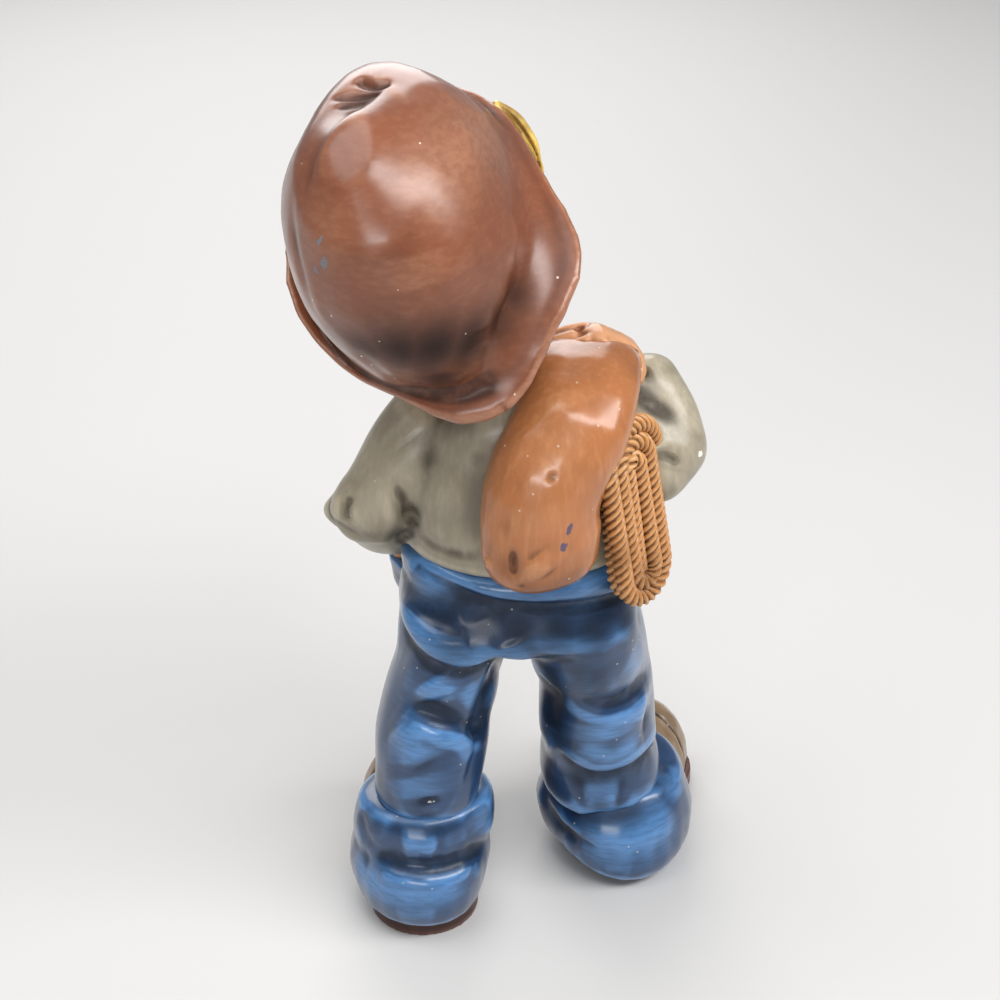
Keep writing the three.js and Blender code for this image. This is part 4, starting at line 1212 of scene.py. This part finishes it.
hairShape = {
    "locks": 27, "from": -60.0, "to": 74.0, "root": 31.0, "tip": 13.0, "thick": 2.9, "sweep": 14.0,
    "reach": 33.0, "proud": 5.2, "tousled": 1.5, "ragged": 4.2, "shortest": 8,
    "templeFrom": 35, "templeDrop": 0.3,
    "sideLocks": [
        [(492, 106, 694), (514, 121, 697), (531, 145, 699), (542, 171, 702)],
        [(494, 110, 697), (514, 127, 700), (530, 151, 703), (537, 181, 708)],
        [(491, 113, 700), (510, 132, 704), (524, 156, 708), (530, 186, 713)],
        [(488, 117, 704), (506, 136, 708), (517, 160, 713), (521, 188, 719)],
        [(484, 120, 708), (500, 140, 713), (509, 164, 718), (512, 190, 724)],
    ],
    "outline": [
        (497, 107), (505, 111), (513, 116), (525, 127), (533, 133), (538, 141), (540, 152), (542, 163),
        (545, 173),
    ],
    "strokes": [
        seen(0.6, (500, 104), (516, 120), (530, 140), (540, 160), depth=0.7, fade=0.1),
        seen(0.6, (502, 110), (520, 128), (534, 150), (541, 168), depth=0.7, fade=0.1),
        seen(0.6, (506, 116), (520, 134), (531, 154), depth=0.6, fade=0.1),
    ],
    # brown wash and painted shade under the brim and between the locks
    "paintedShadeAndWash": [
        tint(3.6, 0.6, (508, 112)), tint(3.6, 0.65, (516, 118)), tint(2.6, 0.6, (524, 128)),
        tint(1.1, 0.7, (521, 137), (531, 153), (538, 166)),
        tint(0.7, 0.8, (506, 108), (520, 124), (532, 144)),
    ],
    "light": [tint(1.4, 1.0, (536, 140), (542, 158))],
}


def hairLine(degrees, sweep, root, tip, proud):  # a lock from under the brim, out and down across the brow
    line = []
    for share in (0.0, 0.3, 0.6, 0.85, 1.0):
        bearing = math.radians(degrees + sweep * share * share)
        reach = hairShape["reach"] + proud * math.sin(min(share * 1.15, 1) * math.pi * 0.55)
        line.append((reach * math.sin(bearing), -reach * math.cos(bearing), root + (tip - root) * share))
    return onHead(*line)


def hairLines():  # every lock differs from the next, in a fixed pattern
    shape = hairShape
    lines = []
    for i in range(shape["locks"]):
        degrees = shape["from"] + (shape["to"] - shape["from"]) * i / (shape["locks"] - 1)
        sweep = shape["sweep"] * (((i * 7) % 11) / 5 - 0.6)
        tip = shape["tip"] + shape["ragged"] * math.sin(i * 2.4) - 0.04 * abs(degrees)
        proud = shape["proud"] + shape["tousled"] * math.cos(i * 3.1)
        root = shape["root"] - shape["templeDrop"] * max(0, degrees - shape["templeFrom"])
        lines.append(hairLine(degrees, sweep, root, min(tip, root - shape["shortest"]), proud))
    for places in shape["sideLocks"]:
        lines.append([seenPlace(*place) for place in places])
    return lines


def makeHair(lines):
    curve = bpy.data.curves.new("hairFringe", "CURVE")
    curve.dimensions = "3D"
    curve.bevel_depth = mm
    curve.bevel_resolution = 3
    curve.use_fill_caps = True
    for line in lines:
        places = flowing(line, step=1.2)
        spline = curve.splines.new("POLY")
        spline.points.add(len(places) - 1)
        for k, place in enumerate(places):
            share = k / (len(places) - 1)
            spline.points[k].co = (*spot(*place), 1)
            plump = 0.9 + 0.3 * math.sin(share * math.pi)  # full in the middle, drawn out to a point
            spline.points[k].radius = hairShape["thick"] * plump * (1 - 0.75 * share ** 2.5)
    locks = bpy.data.objects.new("hairFringe", curve)
    bpy.context.scene.collection.objects.link(locks)
    pick(locks)
    bpy.ops.object.convert(target="MESH")
    return bpy.context.view_layer.objects.active


lockLines = hairLines()
hairPiece = makeHair(lockLines)
hairPiece.name = "hairFringe"
clay(hairPiece, grain=0.5, rounds=4)
fitOutline(hairPiece, hairShape["outline"], reach=3)
carve(hairPiece, [
    placed(0.5, *[(x + away, y - 4, z) for x, y, z in line], depth=0.5, fade=0.1)
    for line in lockLines for away in (-1.1, 1.0)
])
carve(hairPiece, hairShape["strokes"])
dabAll(hairPiece, hairShape)
settle(hairPiece, glazes["hair"], "hair_glaze", "hair_fringe")

# Shoes and soles: a seam round each toe cap, and a lace

shoeShape = {
    "left": {"place": (37.5, 11.0), "turn": 6.0}, "right": {"place": (-38.5, -19.0), "turn": -14.0},
    "capSeam": [
        (-22, -40, 9), (-19, -42, 20), (-9, -44, 31), (0, -45, 34), (9, -44, 31), (19, -42, 20),
        (22, -40, 9),
    ],
    "capEdge": 2.6,
    "lace": [(-9, -36, 33), (0, -34, 36), (9, -36, 33)],
    "rightHeel": [(542, 798), (554, 820), (568, 842), (586, 857), (606, 869), (630, 873), (652, 866)],
}


def onFoot(sideName, places):  # places in a foot's own frame, toes to -y, in mm
    stance = shoeShape[sideName]
    turn = math.radians(stance["turn"])
    return [(stance["place"][0] + x * math.cos(turn) - y * math.sin(turn),
             stance["place"][1] + x * math.sin(turn) + y * math.cos(turn), z) for x, y, z in places]


for sideName in ("left", "right"):
    upper = clay(castingCopy(sideName + "Shoe", [sideName + "_shoe"], swell=0.5), grain=0.7, rounds=44)
    behindSeam = [(x, y + shoeShape["capEdge"], z) for x, y, z in shoeShape["capSeam"]]
    carve(upper, [
        placed(0.8, *onFoot(sideName, shoeShape["capSeam"]), depth=0.9, fade=0.02),
        placed(1.2, *onFoot(sideName, behindSeam), depth=-0.5, fade=0.02),
        placed(1.3, *onFoot(sideName, shoeShape["lace"]), depth=-1.2, fade=0.1),
    ])
    settle(upper, glazes["shoe"], "shoe_glaze", sideName + "_shoe")
    under = clay(castingCopy(sideName + "Sole", [sideName + "_sole"], swell=0.1), grain=0.7, rounds=6)
    if sideName == "right":
        fitOutline(under, shoeShape["rightHeel"], reach=16)
    settle(under, glazes["sole"], "sole_glaze", sideName + "_sole")


# Floor, light and world

deselectAll()
bpy.ops.mesh.primitive_plane_add(size=8.0, location=(0, 0, 0))
floor = bpy.context.object
floor.name = "floor"
floorPaint = bpy.data.materials.new("paleFloor")
floorPaint.use_nodes = True
floorShader = floorPaint.node_tree.nodes["Principled BSDF"]
floorShader.inputs["Base Color"].default_value = (0.6, 0.59, 0.575, 1)
floorShader.inputs["Roughness"].default_value = 0.6
floor.data.materials.append(floorPaint)

lampsAimAt = Vector((0, 0, 0.18))
lamps = {
    "overhead": {"place": (-0.8, 0.5, 1.15), "size": (1.7, 0.42), "roll": -30, "power": 21.0},
    "ceiling": {"place": (0.55, 0.1, 1.5), "size": (1.3, 1.3), "roll": 0, "power": 14.0},
    "behindCamera": {"place": (0.4, 2.4, 0.9), "size": (1.2, 0.3), "roll": 0, "power": 15.0},
    "frontFill": {"place": (0.2, -1.2, 0.8), "size": (1.0, 1.0), "roll": 0, "power": 9.0},
}
for lampName, lamp in lamps.items():
    light = bpy.data.lights.new(lampName, "AREA")
    light.shape = "RECTANGLE"
    light.size, light.size_y = lamp["size"]
    light.energy = lamp["power"]
    holder = bpy.data.objects.new(lampName, light)
    bpy.context.scene.collection.objects.link(holder)
    holder.location = lamp["place"]
    facing = (lampsAimAt - Vector(lamp["place"])).to_track_quat("-Z", "Y").to_matrix()
    holder.rotation_euler = (facing @ Matrix.Rotation(math.radians(lamp["roll"]), 3, "Z")).to_euler()

world = bpy.data.worlds.new("softRoom")
bpy.context.scene.world = world
world.use_nodes = True
background = world.node_tree.nodes["Background"]
background.inputs["Color"].default_value = (0.9, 0.93, 1.0, 1)
background.inputs["Strength"].default_value = 0.2
bpy.context.scene.view_settings.view_transform = "Standard"
print("stage lit")
